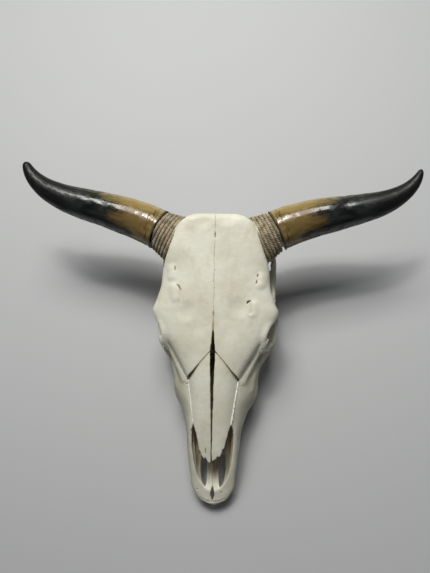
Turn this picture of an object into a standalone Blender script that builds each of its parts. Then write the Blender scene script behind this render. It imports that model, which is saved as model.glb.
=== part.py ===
"""A cow skull without its lower jaw, with polished horns and rope bound round the horn bases.

Metres, +Z up. The skull lies on its cheek teeth and on the two processes beside the occiput, as it
rests on a table. Its nose points to -Y and its poll to +Y. Left is the animal's left, at +X. Z is 0 at
the floor, and the bounding box is centred on X and Y.

The bones are first one body: lofted halls of bone, balls and tapering limbs joined by a voxel remesh,
with the openings cut out. Blocks whose faces follow the sutures then part it into separate bones.
"""

import math

import bmesh
import bpy
import numpy as np
from mathutils import Matrix, Vector

# ---- driving sizes -------------------------------------------------------------------------------
POLL_HEIGHT = 0.200  # top of the poll above the floor
POLL_Y = 0.200  # the poll's place along the skull
FOREHEAD_SLOPE = 0.2217  # fall of the forehead towards the nose, for each metre
NASION_Y = -0.026  # where the nasal bones start
NASAL_TIP_Y = -0.213
PALATE_Z = 0.037  # underside of the hard palate
TOOTH_ROW = (-0.140, -0.006)  # front of the first premolar and back of the last molar
TOOTH_WIDTH = 0.021

SUTURE = 0.0003  # how far a bone's block draws back from its neighbour
VOXEL = 0.0024
SKULL_FACES = 2350  # triangles of the joined bones before they are parted

HORN_BASE = Vector((0.1050, 0.1850, 0.1560))  # middle of the ring where the horn sheath starts
HORN_RADIUS = 0.0352
HORN_LEAVE, HORN_RISE = 22.0, 4.0  # degrees at the base: towards the poll, and above the floor
# Length, then degrees: heading towards the poll of the middle stretch, extra heading at the tip, and
# extra rise at the tip. The animal's right horn is a little longer and sweeps up sooner than its left.
HORN_COURSE = {"left": (0.2697, 8.5, 65.0, 16.0), "right": (0.2786, 13.6, 62.6, 22.0)}

CORE_RADIUS = 0.0285  # bony core where the horn sheath starts
ROPE = 0.0062  # diameter of the rope
ROPE_TURNS = 7
ROPE_RADIUS = 0.0345  # outside of the wrap at the horn
ROPE_FLARE = (0.28, 0.09)  # growth of the wrap towards the skull, across and upwards

BONE = (0.80, 0.77, 0.66)
HORN = (0.10, 0.065, 0.035)
JUTE = (0.42, 0.33, 0.22)


def forehead(y):
    """Height of the forehead's middle line."""
    return POLL_HEIGHT - FOREHEAD_SLOPE * (POLL_Y - y)


# ---- small modelling tools -----------------------------------------------------------------------
def clear_scene():
    for obj in list(bpy.data.objects):
        bpy.data.objects.remove(obj)


def new_collection(name):
    collection = bpy.data.collections.new(name)
    bpy.context.scene.collection.children.link(collection)
    return collection


def new_material(name, colour, roughness):
    material = bpy.data.materials.new(name)
    material.use_nodes = True
    shader = material.node_tree.nodes["Principled BSDF"]
    shader.inputs["Base Color"].default_value = (*colour, 1.0)
    shader.inputs["Roughness"].default_value = roughness
    material.diffuse_color = (*colour, 1.0)
    return material


def object_from(bm, name, collection):
    """A named object from a bmesh, with its faces pointing out."""
    bmesh.ops.recalc_face_normals(bm, faces=bm.faces)
    mesh = bpy.data.meshes.new(name)
    bm.to_mesh(mesh)
    bm.free()
    obj = bpy.data.objects.new(name, mesh)
    collection.objects.link(obj)
    return obj


def bake(obj):
    """Replaces the object's mesh with what its modifiers make of it."""
    graph = bpy.context.evaluated_depsgraph_get()
    made = bpy.data.meshes.new_from_object(obj.evaluated_get(graph))
    obj.modifiers.clear()
    obj.data = made


def boolean(obj, other, operation):
    """The exact solver returns an empty mesh for the thinned skull, so the manifold one is used."""
    modifier = obj.modifiers.new(operation, "BOOLEAN")
    modifier.operation = operation
    modifier.solver = "MANIFOLD"
    modifier.object = other
    bake(obj)


def copy_of(obj, name):
    other = obj.copy()
    other.data = obj.data.copy()
    other.name = name
    obj.users_collection[0].objects.link(other)
    return other


def keep_largest_body(obj):
    """Drops the crumbs that a cut leaves, and keeps the body with the most faces."""
    bm = bmesh.new()
    bm.from_mesh(obj.data)
    left = set(bm.faces)
    bodies = []
    while left:
        stack = [left.pop()]
        body = []
        while stack:
            face = stack.pop()
            body.append(face)
            for edge in face.edges:
                for other in edge.link_faces:
                    if other in left:
                        left.remove(other)
                        stack.append(other)
        bodies.append(body)
    bodies.sort(key=len)
    crumbs = [face for body in bodies[:-1] for face in body]
    bmesh.ops.delete(bm, geom=crumbs, context="FACES")
    bm.to_mesh(obj.data)
    bm.free()


# ---- shapes --------------------------------------------------------------------------------------
def signed_power(value, power):
    return math.copysign(abs(value) ** power, value)


def smooth_rows(rows, step):
    """Rows of numbers filled in along their first column with a Catmull-Rom curve."""
    rows = np.array(sorted(rows), float)
    filled = []
    for i in range(len(rows) - 1):
        before, start = rows[max(i - 1, 0)], rows[i]
        end, after = rows[i + 1], rows[min(i + 2, len(rows) - 1)]
        count = max(1, round((end[0] - start[0]) / step))
        for k in range(count):
            t = k / count
            row = 0.5 * (
                2 * start
                + (end - before) * t
                + (2 * before - 5 * start + 4 * end - after) * t * t
                + (3 * start - before - 3 * end + after) * t ** 3
            )
            row[0] = start[0] + (end[0] - start[0]) * t
            filled.append(row)
    filled.append(rows[-1])
    return filled


def loft_rings(bm, rings):
    """Joins rings of equal length with quads and closes both ends."""
    made = [[bm.verts.new(point) for point in ring] for ring in rings]
    count = len(made[0])
    for lower, upper in zip(made, made[1:]):
        for i in range(count):
            j = (i + 1) % count
            bm.faces.new((lower[i], lower[j], upper[j], upper[i]))
    bm.faces.new(made[0][::-1])
    bm.faces.new(made[-1])


def hall(bm, rows, step=0.012, sides=28):
    """A long body across the mid-plane. Each row is (y, half width, height of the widest level, top,
    bottom, squareness above, squareness below), and its section is a superellipse."""
    rings = []
    for y, half, level, top, bottom, above, below in smooth_rows(rows, step):
        ring = []
        for i in range(sides):
            angle = math.tau * i / sides
            square = above if math.sin(angle) >= 0 else below
            reach = top - level if math.sin(angle) >= 0 else level - bottom
            ring.append((
                half * signed_power(math.cos(angle), 2 / square),
                y,
                level + reach * signed_power(math.sin(angle), 2 / square),
            ))
        rings.append(ring)
    loft_rings(bm, rings)


def ball(bm, centre, radii, turn=(0, 0, 0)):
    """An ellipsoid, turned by degrees about X, Y and Z."""
    spin = Matrix.Identity(4)
    for axis, degrees in zip("XYZ", turn):
        spin = Matrix.Rotation(math.radians(degrees), 4, axis) @ spin
    matrix = Matrix.Translation(centre) @ spin @ Matrix.Diagonal((*radii, 1))
    bmesh.ops.create_uvsphere(bm, u_segments=20, v_segments=12, radius=1, matrix=matrix)


def limb(bm, stations, up=(0, 0, 1), sides=14):
    """A tapering limb with rounded ends. Each station is (point, (radius sideways, radius upwards))."""
    points = [Vector(point) for point, _ in stations]
    radii = [radius for _, radius in stations]
    up = Vector(up)
    rings = []
    last = len(points) - 1
    for i, point in enumerate(points):
        along = (points[min(i + 1, last)] - points[max(i - 1, 0)]).normalized()
        side = along.cross(up).normalized()
        other = side.cross(along)
        wide, high = radii[i]
        steps = [(0, 1)]
        thin = min(wide, high)
        if i == 0:
            steps = [(-0.9, 0.35), (-0.6, 0.78), (0, 1)]
        elif i == last:
            steps = [(0, 1), (0.6, 0.78), (0.9, 0.35)]
        for shift, share in steps:
            centre = point + along * shift * thin
            rings.append([
                centre
                + side * wide * share * math.cos(math.tau * k / sides)
                + other * high * share * math.sin(math.tau * k / sides)
                for k in range(sides)
            ])
    loft_rings(bm, rings)


def both_sides(build):
    """Runs build(bm) once, and again mirrored across the mid-plane, in one bmesh."""
    bm = bmesh.new()
    build(bm)
    other = bmesh.new()
    build(other)
    bmesh.ops.scale(other, vec=(-1, 1, 1), verts=other.verts)
    bmesh.ops.reverse_faces(other, faces=other.faces)
    mesh = bpy.data.meshes.new("mirrored")
    other.to_mesh(mesh)
    other.free()
    bm.from_mesh(mesh)
    bpy.data.meshes.remove(mesh)
    return bm


def block(name, outline, low, high, collection, axis="X"):
    """A prism that a bone is sawn out with: an outline in the plane across the axis, from low to high.
    low may be a function of the outline's second value."""
    bm = bmesh.new()
    place = {
        "X": lambda a, b, c: (c, a, b),
        "Z": lambda a, b, c: (a, b, c),
    }[axis]
    floor = low if callable(low) else (lambda b: low)
    rings = [
        [place(a, b, floor(b)) for a, b in outline],
        [place(a, b, high) for a, b in outline],
    ]
    loft_rings(bm, rings)
    obj = object_from(bm, name, collection)
    obj.hide_render = True
    obj.display_type = "WIRE"
    return obj


def mirrored(obj, name):
    other = copy_of(obj, name)
    other.data.transform(Matrix.Diagonal((-1, 1, 1, 1)))
    other.data.flip_normals()
    return other


def saw_out(body, name, cutter, collection):
    """Takes the bone inside the cutter out of the body. The bone's own block is drawn in by SUTURE."""
    bone = copy_of(body, name)
    for other in list(bone.users_collection):
        other.objects.unlink(bone)
    collection.objects.link(bone)
    shrunk = copy_of(cutter, cutter.name + "_drawn_in")
    draw = shrunk.modifiers.new("draw_in", "DISPLACE")
    draw.strength = -SUTURE
    draw.mid_level = 0.0
    bake(shrunk)
    boolean(bone, shrunk, "INTERSECT")
    keep_largest_body(bone)
    boolean(body, cutter, "DIFFERENCE")
    bone.hide_render = False
    bone.display_type = "TEXTURED"
    return bone


# ---- the skull as one body -----------------------------------------------------------------------
def frontal_slab(bm):
    """The forehead: a broad slab, widest over the back of the orbits and narrowing to the poll."""
    wide = [
        # y, half width, widest level, top, bottom, squareness above and below
        (-0.078, 0.044, 0.119, 0.1345, 0.100, 2.6, 2.0),
        (-0.050, 0.058, 0.123, 0.1430, 0.100, 2.8, 2.0),
        (-0.014, 0.078, 0.130, forehead(-0.014), 0.108, 3.0, 2.0),
        (0.012, 0.094, 0.135, forehead(0.012), 0.116, 3.0, 2.0),
        (0.040, 0.1100, 0.138, forehead(0.040), 0.120, 2.8, 2.0),
        (0.060, 0.1035, 0.142, forehead(0.060), 0.122, 2.8, 2.0),
        (0.085, 0.0955, 0.146, forehead(0.085), 0.122, 3.0, 2.0),
        (0.115, 0.0930, 0.151, forehead(0.115), 0.124, 3.0, 2.0),
        (0.145, 0.0835, 0.160, forehead(0.145), 0.126, 4.0, 2.2),
        (0.172, 0.0730, 0.166, forehead(0.172), 0.128, 4.4, 2.2),
        (0.190, 0.0630, 0.172, forehead(0.190), 0.140, 4.0, 2.2),
        (0.201, 0.0540, 0.176, 0.1965, 0.150, 3.2, 2.2),
        (0.2065, 0.0440, 0.180, 0.1920, 0.162, 2.4, 2.2),
    ]
    hall(bm, wide)


def brain_case(bm):
    """From the narrow wall between the orbits to the broad back of the head."""
    hall(bm, [
        (-0.020, 0.040, 0.100, 0.140, 0.064, 2.2, 2.2),
        (0.020, 0.036, 0.102, 0.150, 0.062, 2.2, 2.2),
        (0.060, 0.044, 0.104, 0.160, 0.058, 2.2, 2.2),
        (0.105, 0.060, 0.106, 0.168, 0.054, 2.3, 2.4),
        (0.145, 0.076, 0.110, 0.174, 0.053, 2.4, 2.6),
        (0.172, 0.090, 0.114, 0.180, 0.055, 2.3, 2.4),
        (0.186, 0.078, 0.118, 0.180, 0.060, 2.2, 2.2),
        (0.193, 0.050, 0.122, 0.176, 0.075, 2.0, 2.0),
    ])


def face(bm):
    """Upper jaw and premaxilla: widest at the facial tuber, then a long taper to the incisive edge.
    In front of the nasal bones its top follows the rim of the nasal opening."""
    hall(bm, [
        (0.006, 0.060, 0.070, 0.130, 0.040, 2.2, 2.6),
        (-0.012, 0.074, 0.084, 0.142, 0.027, 2.1, 2.8),
        (-0.040, 0.0775, 0.078, 0.141, 0.020, 2.0, 3.0),
        (-0.070, 0.0765, 0.069, 0.134, 0.018, 1.9, 3.2),
        (-0.097, 0.0755, 0.063, 0.126, 0.018, 1.85, 3.2),
        (-0.130, 0.0620, 0.060, 0.117, 0.019, 2.0, 3.0),
        (-0.162, 0.0482, 0.059, 0.104, 0.025, 2.4, 2.6),
        (-0.198, 0.0440, 0.056, 0.082, 0.029, 2.6, 2.4),
        (-0.225, 0.0415, 0.050, 0.066, 0.029, 2.6, 2.4),
        (-0.246, 0.0400, 0.043, 0.054, 0.028, 2.6, 2.4),
        (-0.264, 0.0390, 0.035, 0.0445, 0.025, 2.6, 2.4),
        (-0.280, 0.0290, 0.030, 0.0375, 0.021, 2.4, 2.4),
        (-0.290, 0.0150, 0.027, 0.0330, 0.020, 2.2, 2.2),
        (-0.294, 0.0060, 0.026, 0.0300, 0.022, 2.0, 2.0),
    ], step=0.010)


def orbit_ring_point(angle, swell=0.0):
    """A point on the rim of the eye socket. The rim's plane faces out, a little forwards and up."""
    centre = Vector((0.0955, 0.0140, 0.1130))
    back = Vector((0.300, 0.954, 0.0))
    lift = Vector((-0.190, 0.0, 0.982))
    return centre + back * (0.0325 + swell) * math.cos(angle) + lift * (0.0325 + swell) * math.sin(angle)


def side_lumps(bm):
    """What the left side adds to the halls: rim, cheek arch, horn core and the knobs of the base."""
    # rim of the eye socket
    ring = [(orbit_ring_point(math.tau * k / 16), (0.0050, 0.0055)) for k in range(17)]
    limb(bm, ring, up=(1, -0.3, 0.2), sides=10)
    # bar behind the eye
    limb(bm, [
        ((0.1045, 0.0470, 0.134), (0.0080, 0.0050)),
        ((0.1050, 0.0480, 0.112), (0.0070, 0.0045)),
        ((0.1040, 0.0460, 0.088), (0.0090, 0.0050)),
    ], up=(1, 0, 0))
    # facial crest, cheek bone and arch in one sweep
    limb(bm, [
        ((0.0680, -0.112, 0.060), (0.0070, 0.0090)),
        ((0.0710, -0.095, 0.060), (0.0080, 0.0110)),
        ((0.0730, -0.065, 0.067), (0.0070, 0.0110)),
        ((0.0790, -0.040, 0.074), (0.0080, 0.0120)),
        ((0.0930, -0.020, 0.080), (0.0100, 0.0120)),
        ((0.1020, 0.005, 0.081), (0.0065, 0.0105)),
        ((0.1030, 0.035, 0.083), (0.0052, 0.0100)),
        ((0.1030, 0.070, 0.082), (0.0048, 0.0085)),
        ((0.1020, 0.098, 0.081), (0.0055, 0.0075)),
        ((0.0950, 0.122, 0.083), (0.0080, 0.0075)),
    ])
    # root of the arch over the jaw joint, and the crest that runs up from it to the horn
    ball(bm, (0.0780, 0.120, 0.0800), (0.0290, 0.0150, 0.0105))
    limb(bm, [
        ((0.1020, 0.112, 0.085), (0.0050, 0.0055)),
        ((0.1030, 0.136, 0.092), (0.0050, 0.0060)),
        ((0.0980, 0.160, 0.106), (0.0060, 0.0070)),
        ((0.0840, 0.175, 0.134), (0.0060, 0.0070)),
        ((0.0720, 0.181, 0.152), (0.0070, 0.0080)),
    ])
    # horn core
    limb(bm, [
        ((0.0420, 0.1650, 0.157), (0.0400, 0.0270)),
        ((0.0700, 0.1730, 0.155), (0.0345, 0.0290)),
        ((0.0900, 0.1795, 0.155), (0.0300, 0.0285)),
        ((0.1150, 0.1885, 0.1565), (CORE_RADIUS, CORE_RADIUS)),
    ], sides=20)
    # occipital condyle and the process beside it, which stands on the floor
    ball(bm, (0.0265, 0.1880, 0.0640), (0.0185, 0.0190, 0.0240), turn=(20, -18, 12))
    limb(bm, [
        ((0.0610, 0.168, 0.092), (0.0150, 0.0120)),
        ((0.0590, 0.169, 0.055), (0.0100, 0.0100)),
        ((0.0540, 0.167, 0.025), (0.0065, 0.0085)),
        ((0.0505, 0.162, -0.008), (0.0055, 0.0065)),
    ], up=(1, 0, 0))
    # ear: bulla and bony passage
    ball(bm, (0.0410, 0.1300, 0.0560), (0.0125, 0.0180, 0.0230), turn=(12, 0, 0))
    limb(bm, [
        ((0.0380, 0.1160, 0.048), (0.0040, 0.0040)),
        ((0.0370, 0.1060, 0.034), (0.0025, 0.0025)),
    ])
    limb(bm, [
        ((0.0500, 0.1380, 0.078), (0.0100, 0.0100)),
        ((0.0830, 0.1440, 0.092), (0.0085, 0.0085)),
    ])
    # wing beside the inner nostril, ending in its small hook
    limb(bm, [
        ((0.0300, -0.006, 0.058), (0.0040, 0.0200)),
        ((0.0270, 0.028, 0.054), (0.0035, 0.0200)),
        ((0.0250, 0.060, 0.058), (0.0035, 0.0150)),
    ])
    limb(bm, [
        ((0.0260, 0.044, 0.044), (0.0032, 0.0060)),
        ((0.0225, 0.054, 0.028), (0.0028, 0.0030)),
    ])
    # tuber behind the last molar
    ball(bm, (0.0500, -0.004, 0.0440), (0.0160, 0.0170, 0.0170))
    # knob under the skull base
    ball(bm, (0.0095, 0.1220, 0.0500), (0.0075, 0.0110, 0.0080))


def middle_lumps(bm):
    """Skull base and the knob at the back of the head."""
    limb(bm, [
        ((0, 0.186, 0.056), (0.0200, 0.0090)),
        ((0, 0.155, 0.054), (0.0170, 0.0095)),
        ((0, 0.118, 0.057), (0.0135, 0.0100)),
        ((0, 0.080, 0.063), (0.0150, 0.0120)),
        ((0, 0.040, 0.070), (0.0200, 0.0120)),
        ((0, 0.000, 0.076), (0.0220, 0.0120)),
    ])
    limb(bm, [
        ((0, 0.1900, 0.125), (0.0050, 0.0050)),
        ((0, 0.1920, 0.145), (0.0120, 0.0080)),
        ((0, 0.1920, 0.168), (0.0200, 0.0100)),
    ], up=(1, 0, 0))


def nose_and_palate_cuts(bm):
    """Nasal passage open to the front and top, and the hollow under the palate."""
    hall(bm, [
        (-0.263, 0.0160, 0.050, 0.100, 0.0375, 2.6, 3.0),
        (-0.250, 0.0250, 0.055, 0.115, 0.0395, 2.6, 3.0),
        (-0.225, 0.0305, 0.062, 0.125, 0.0415, 3.0, 3.0),
        (-0.190, 0.0345, 0.075, 0.135, 0.0430, 3.4, 3.0),
        (-0.162, 0.0345, 0.085, 0.140, 0.0440, 3.4, 3.0),
        (-0.154, 0.0340, 0.080, 0.125, 0.0440, 2.8, 3.0),
        (-0.146, 0.0350, 0.074, 0.113, 0.0440, 2.2, 3.0),
        (-0.110, 0.0410, 0.080, 0.1270, 0.0450, 2.2, 3.0),
        (-0.080, 0.0430, 0.086, 0.1370, 0.0460, 2.2, 3.0),
        (-0.062, 0.0340, 0.092, 0.1400, 0.0500, 2.4, 2.6),
        (-0.045, 0.0190, 0.096, 0.1430, 0.0580, 2.4, 2.6),
        (-0.030, 0.0050, 0.105, 0.1460, 0.0700, 2.4, 2.4),
    ], step=0.010)
    hall(bm, [
        (-0.256, 0.018, 0.015, 0.0270, -0.010, 2.4, 4.0),
        (-0.220, 0.027, 0.018, 0.0325, -0.010, 2.4, 4.0),
        (-0.160, 0.034, 0.020, 0.0360, -0.010, 2.4, 4.0),
        (-0.130, 0.0350, 0.020, PALATE_Z, -0.010, 2.8, 4.0),
        (-0.060, 0.0380, 0.020, PALATE_Z, -0.010, 3.0, 4.0),
        (-0.010, 0.0385, 0.020, PALATE_Z, -0.010, 3.0, 4.0),
        (0.012, 0.0330, 0.020, PALATE_Z, -0.010, 2.6, 4.0),
    ], step=0.014)


def inner_nostril_cut(bm):
    """The passage above the back of the palate, open backwards between the two wings."""
    limb(bm, [
        ((0, -0.020, 0.052), (0.0170, 0.0090)),
        ((0, 0.010, 0.050), (0.0200, 0.0110)),
        ((0, 0.050, 0.040), (0.0190, 0.0180)),
        ((0, 0.085, 0.030), (0.0170, 0.0180)),
    ])
    limb(bm, [((0, 0.230, 0.086), (0.0180, 0.0150)), ((0, 0.150, 0.086), (0.0160, 0.0140))])


def side_cuts(bm):
    """Eye socket, hollow behind it, slot beside the palate, and the small openings of one side."""
    ball(bm, (0.0900, 0.0120, 0.1130), (0.0460, 0.0290, 0.0290), turn=(0, -10, -16))
    ball(bm, (0.0610, 0.0300, 0.1060), (0.0260, 0.0260, 0.0230))
    # hollow behind the eye, above and inside the cheek arch
    limb(bm, [
        ((0.0800, 0.0660, 0.108), (0.0170, 0.0150)),
        ((0.0880, 0.0930, 0.109), (0.0190, 0.0160)),
        ((0.0960, 0.1180, 0.113), (0.0180, 0.0140)),
        ((0.1020, 0.1450, 0.126), (0.0130, 0.0120)),
    ])
    limb(bm, [
        ((0.0760, 0.0560, 0.095), (0.0170, 0.0190)),
        ((0.0760, 0.0900, 0.090), (0.0150, 0.0130)),
        ((0.0720, 0.0700, 0.060), (0.0180, 0.0160)),
    ])
    # palatine slot
    limb(bm, [
        ((0.0155, -0.2560, 0.030), (0.0040, 0.0200)),
        ((0.0170, -0.2350, 0.034), (0.0062, 0.0200)),
        ((0.0170, -0.2120, 0.036), (0.0050, 0.0200)),
    ])
    # hole below the eye for the cheek nerve, ear passage, groove and hole above the eye
    limb(bm, [((0.0700, -0.1380, 0.058), (0.0045, 0.0035)), ((0.0560, -0.1180, 0.064), (0.0045, 0.0035))])
    limb(bm, [((0.1000, 0.1470, 0.098), (0.0048, 0.0048)), ((0.0700, 0.1420, 0.087), (0.0045, 0.0045))])


def open_incisive_slot(bm):
    """The narrow slot between the two premaxillae at the tip of the nose."""
    limb(bm, [
        ((0, -0.2990, 0.028), (0.0006, 0.020)),
        ((0, -0.2850, 0.030), (0.0014, 0.020)),
        ((0, -0.2700, 0.034), (0.0020, 0.020)),
        ((0, -0.2620, 0.036), (0.0012, 0.020)),
    ])


def frontal_gap(bm):
    """The split between the two frontal bones, which widens towards the nasal bones."""
    outline = [(-0.0040, -0.034), (-0.0036, -0.020), (-0.0010, 0.036), (0.0010, 0.036), (0.0036, -0.020),
               (0.0040, -0.034)]
    loft_rings(bm, [[(x, y, z) for x, y in outline] for z in (0.132, 0.180)])


def floor_cut(bm):
    """Everything below the floor, so the processes stand on small flats."""
    below = Matrix.Translation((0, 0, -0.05)) @ Matrix.Diagonal((1, 1, 0.1, 1))
    bmesh.ops.create_cube(bm, size=1, matrix=below)


# ---- nasal bones ---------------------------------------------------------------------------------
NASAL_ROWS = [
    # y, inner edge, outer edge, height near the middle, height of the outer edge
    (-0.0280, 0.0048, 0.0085, 0.1490, 0.1485),
    (-0.0500, 0.0040, 0.0255, 0.1440, 0.1400),
    (-0.0710, 0.0031, 0.0422, 0.1385, 0.1240),
    (-0.0760, 0.0030, 0.0430, 0.1370, 0.1215),
    (-0.1100, 0.0021, 0.0382, 0.1270, 0.1120),
    (-0.1490, 0.0013, 0.0325, 0.1140, 0.1020),
    (-0.1650, 0.0011, 0.0278, 0.1085, 0.0990),
    (-0.1850, 0.0008, 0.0232, 0.1010, 0.0940),
    (-0.2020, 0.0006, 0.0198, 0.0945, 0.0895),
    (NASAL_TIP_Y, 0.0012, 0.0150, 0.0900, 0.0870),
]
NASAL_THICKNESS = 0.0036


def nasal_plate(bm, grow=0.0, across=5):
    """The left nasal bone: a vaulted plate that falls towards its outer edge. With grow it becomes the
    bed cut for both nasals, from the mid-plane out, a little larger and without a roof."""
    rings = []
    rows = smooth_rows(NASAL_ROWS, 0.02)
    if grow:
        rows = [rows[0] - (0.05, 0, 0, 0, 0), *rows, rows[-1] + (grow, 0, 0, 0, 0)]
    for y, inner, outer, middle, edge in rows:
        top, under = [], []
        for k in range(across):
            x = inner + (outer - inner) * k / (across - 1)
            height = middle - (middle - edge) * (x / outer) ** 2.2
            if grow and k == 0:
                x = -0.001
            if grow and k == across - 1:
                x = outer + grow
            top.append((x, y, height + (0.06 if grow else 0)))
            under.append((x, y, height - NASAL_THICKNESS - 1.5 * grow))
        rings.append(top + under[::-1])
    loft_rings(bm, rings)


def nasal_notch(bm):
    """The nick in the tip of a nasal bone, which leaves two points."""
    outline = [(0.0060, -0.230), (0.0105, -0.2035), (0.0125, -0.230)]
    loft_rings(bm, [[(x, y, z) for x, y in outline] for z in (0.07, 0.12)])


def nasal_bone(model, material):
    bm = bmesh.new()
    nasal_plate(bm)
    bone = object_from(bm, "nasal_left", model)
    bm = bmesh.new()
    nasal_notch(bm)
    notch = object_from(bm, "nasal_notch", model)
    boolean(bone, notch, "DIFFERENCE")
    bpy.data.objects.remove(notch)
    bone.data.materials.append(material)
    return bone


def joined_skull(guides):
    """One closed body of all fused bone, with every opening cut."""
    bm = both_sides(side_lumps)
    frontal_slab(bm)
    brain_case(bm)
    face(bm)
    middle_lumps(bm)
    skull = object_from(bm, "skull", guides)
    remesh(skull, VOXEL)
    cuts = [
        ("nose_cut", nose_and_palate_cuts, False),
        ("inner_nostril_cut", inner_nostril_cut, False),
        ("slot_cut", open_incisive_slot, False),
        ("side_cut", side_cuts, True),
    ]
    for name, build, paired in cuts:
        cutter = object_from(both_sides(build) if paired else one_side(build), name, guides)
        remesh(cutter, VOXEL, smooth=1)
        boolean(skull, cutter, "DIFFERENCE")
    keep_largest_body(skull)
    remesh(skull, VOXEL * 0.75)
    keep_largest_body(skull)
    thin(skull, SKULL_FACES)
    crisp = [
        ("nasal_bed_cut", lambda bm: nasal_plate(bm, grow=2 * SUTURE), True),
        ("horn_bed_cut", horn_bed, True),
        ("frontal_gap_cut", frontal_gap, False),
        ("floor_cut", floor_cut, False),
    ]
    for name, build, paired in crisp:
        if paired:
            cutter = object_from(one_side(build), name, guides)
            boolean(skull, cutter, "DIFFERENCE")
            boolean(skull, mirrored(cutter, name + "_right"), "DIFFERENCE")
        else:
            boolean(skull, object_from(one_side(build), name, guides), "DIFFERENCE")
    keep_largest_body(skull)
    return skull


def one_side(build):
    bm = bmesh.new()
    build(bm)
    return bm


def remesh(obj, size, smooth=4):
    modifier = obj.modifiers.new("join", "REMESH")
    modifier.mode = "VOXEL"
    modifier.voxel_size = size
    if smooth:
        ease = obj.modifiers.new("ease", "SMOOTH")
        ease.factor = 0.5
        ease.iterations = smooth
    bake(obj)


def thin(obj, faces):
    """Fewer faces, keeping the shape."""
    obj.data.calc_loop_triangles()
    modifier = obj.modifiers.new("thin", "DECIMATE")
    modifier.ratio = min(1.0, faces / len(obj.data.loop_triangles))
    bake(obj)


# ---- parting the joined skull into bones ---------------------------------------------------------
# Each outline is in the side view as (y, z), or in the top view as (x, y). The bones come off in this
# order, so a block may run on into a bone that has already gone.
PREMAXILLA = [(-0.330, -0.020), (-0.2724, -0.020), (-0.150, 0.104), (-0.150, 0.170), (-0.330, 0.170)]
FRONTAL = [
    (0.000, NASION_Y), (0.0425, -0.0715), (0.062, -0.042), (0.080, -0.014), (0.160, -0.014),
    (0.160, 0.260), (0.000, 0.260),
]
LACRIMAL = [(-0.076, 0.102), (-0.040, 0.094), (-0.006, 0.098), (-0.006, 0.180), (-0.076, 0.180)]
ZYGOMATIC = [
    (-0.058, 0.040), (0.150, 0.040), (0.104, 0.066), (0.064, 0.100), (0.062, 0.150),
    (-0.006, 0.150), (-0.006, 0.098), (-0.040, 0.094),
]
MAXILLA = [
    (-0.320, -0.010), (0.022, -0.010), (0.022, 0.060), (-0.030, 0.066), (-0.028, 0.180), (-0.320, 0.180),
]
PALATINE = [(-0.046, 0.020), (0.034, 0.020), (0.034, 0.074), (-0.020, 0.074), (-0.046, 0.062)]
OCCIPITAL_Y = 0.1735  # front of the occipital's upright part
BASILAR = (0.020, 0.104, 0.074)  # half width, front and roof of its foot below the brain case
PROCESS = (0.042, 0.076, 0.150, 0.078)  # inner and outer side, front and roof of the process's block
TEMPORAL = [
    (0.060, 0.020), (0.250, 0.020), (0.250, 0.250), (0.078, 0.250), (0.078, 0.100), (0.060, 0.094),
]


def frontal_floor(y):
    """The seam between the forehead and the wall of the brain case, in the side view."""
    return 0.118 + 0.100 * (y + 0.020)


def part_skull(skull, model, guides):
    """Saws the joined skull into its bones and returns them. What is left is the sphenoid."""
    def pair(name, outline, low, high, axis="X"):
        cutter = block(name + "_block", outline, low, high, guides, axis)
        left = saw_out(skull, name + "_left", cutter, model)
        right = saw_out(skull, name + "_right", mirrored(cutter, cutter.name + "_right"), model)
        return [left, right]

    bones = []
    bones += pair("premaxilla", PREMAXILLA, 0.0, 0.120)
    bones += pair("frontal", FRONTAL, frontal_floor, 0.260, "Z")
    bones += pair("lacrimal", LACRIMAL, 0.0200, 0.140)
    bones += pair("zygomatic", ZYGOMATIC, 0.0640, 0.140)
    bones += pair("palatine", PALATINE, 0.0, 0.0370)
    bones += pair("maxilla", MAXILLA, 0.0, 0.140)
    half, front, roof = BASILAR
    back = block("occipital_block", [
        (OCCIPITAL_Y, -0.020), (0.250, -0.020), (0.250, 0.250), (OCCIPITAL_Y, 0.250),
    ], -0.150, 0.150, guides)
    foot = block("basilar_block", [
        (front, 0.0), (0.200, 0.0), (0.200, roof), (front, roof),
    ], -half, half, guides)
    boolean(back, foot, "UNION")
    inner, outer, front, roof = PROCESS
    process = block("process_block", [
        (front, -0.010), (0.200, -0.010), (0.200, roof), (front, roof),
    ], inner, outer, guides)
    for part in (process, mirrored(process, "process_block_right")):
        boolean(back, part, "UNION")
    bones.append(saw_out(skull, "occipital", back, model))
    bones += pair("temporal", TEMPORAL, 0.0, 0.140)
    skull.name = "sphenoid"
    keep_largest_body(skull)
    guides.objects.unlink(skull)
    model.objects.link(skull)
    bones.append(skull)
    return bones


# ---- teeth ---------------------------------------------------------------------------------------
# length of each tooth along the row, from the front, and its number of lobes
TEETH = [(0.0165, 1), (0.0180, 1), (0.0185, 1), (0.0245, 2), (0.0270, 2), (0.0285, 2)]


def cheek_teeth(bm):
    """Six columns with rounded corners. The back three have a waist between their two lobes."""
    start, end = TOOTH_ROW
    y = start
    space = (end - start - sum(length for length, _ in TEETH)) / (len(TEETH) - 1)
    for length, lobes in TEETH:
        middle = y + length / 2
        x = 0.0465 + 0.0035 * (middle - start) / (end - start)
        rings = []
        for z, share in ((0.0480, 1.0), (0.0015, 0.96), (0.0, 0.86)):
            ring = []
            for k in range(12):
                angle = math.tau * k / 12
                along = length / 2 * share * signed_power(math.cos(angle), 0.75)
                out = TOOTH_WIDTH / 2 * share * signed_power(math.sin(angle), 0.75)
                if lobes == 2:
                    out *= 1 - 0.24 * math.exp(-(along / 0.0035) ** 2)
                ring.append((x + out, middle + along, z))
            rings.append(ring)
        loft_rings(bm, rings)
        y += length + space


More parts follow.
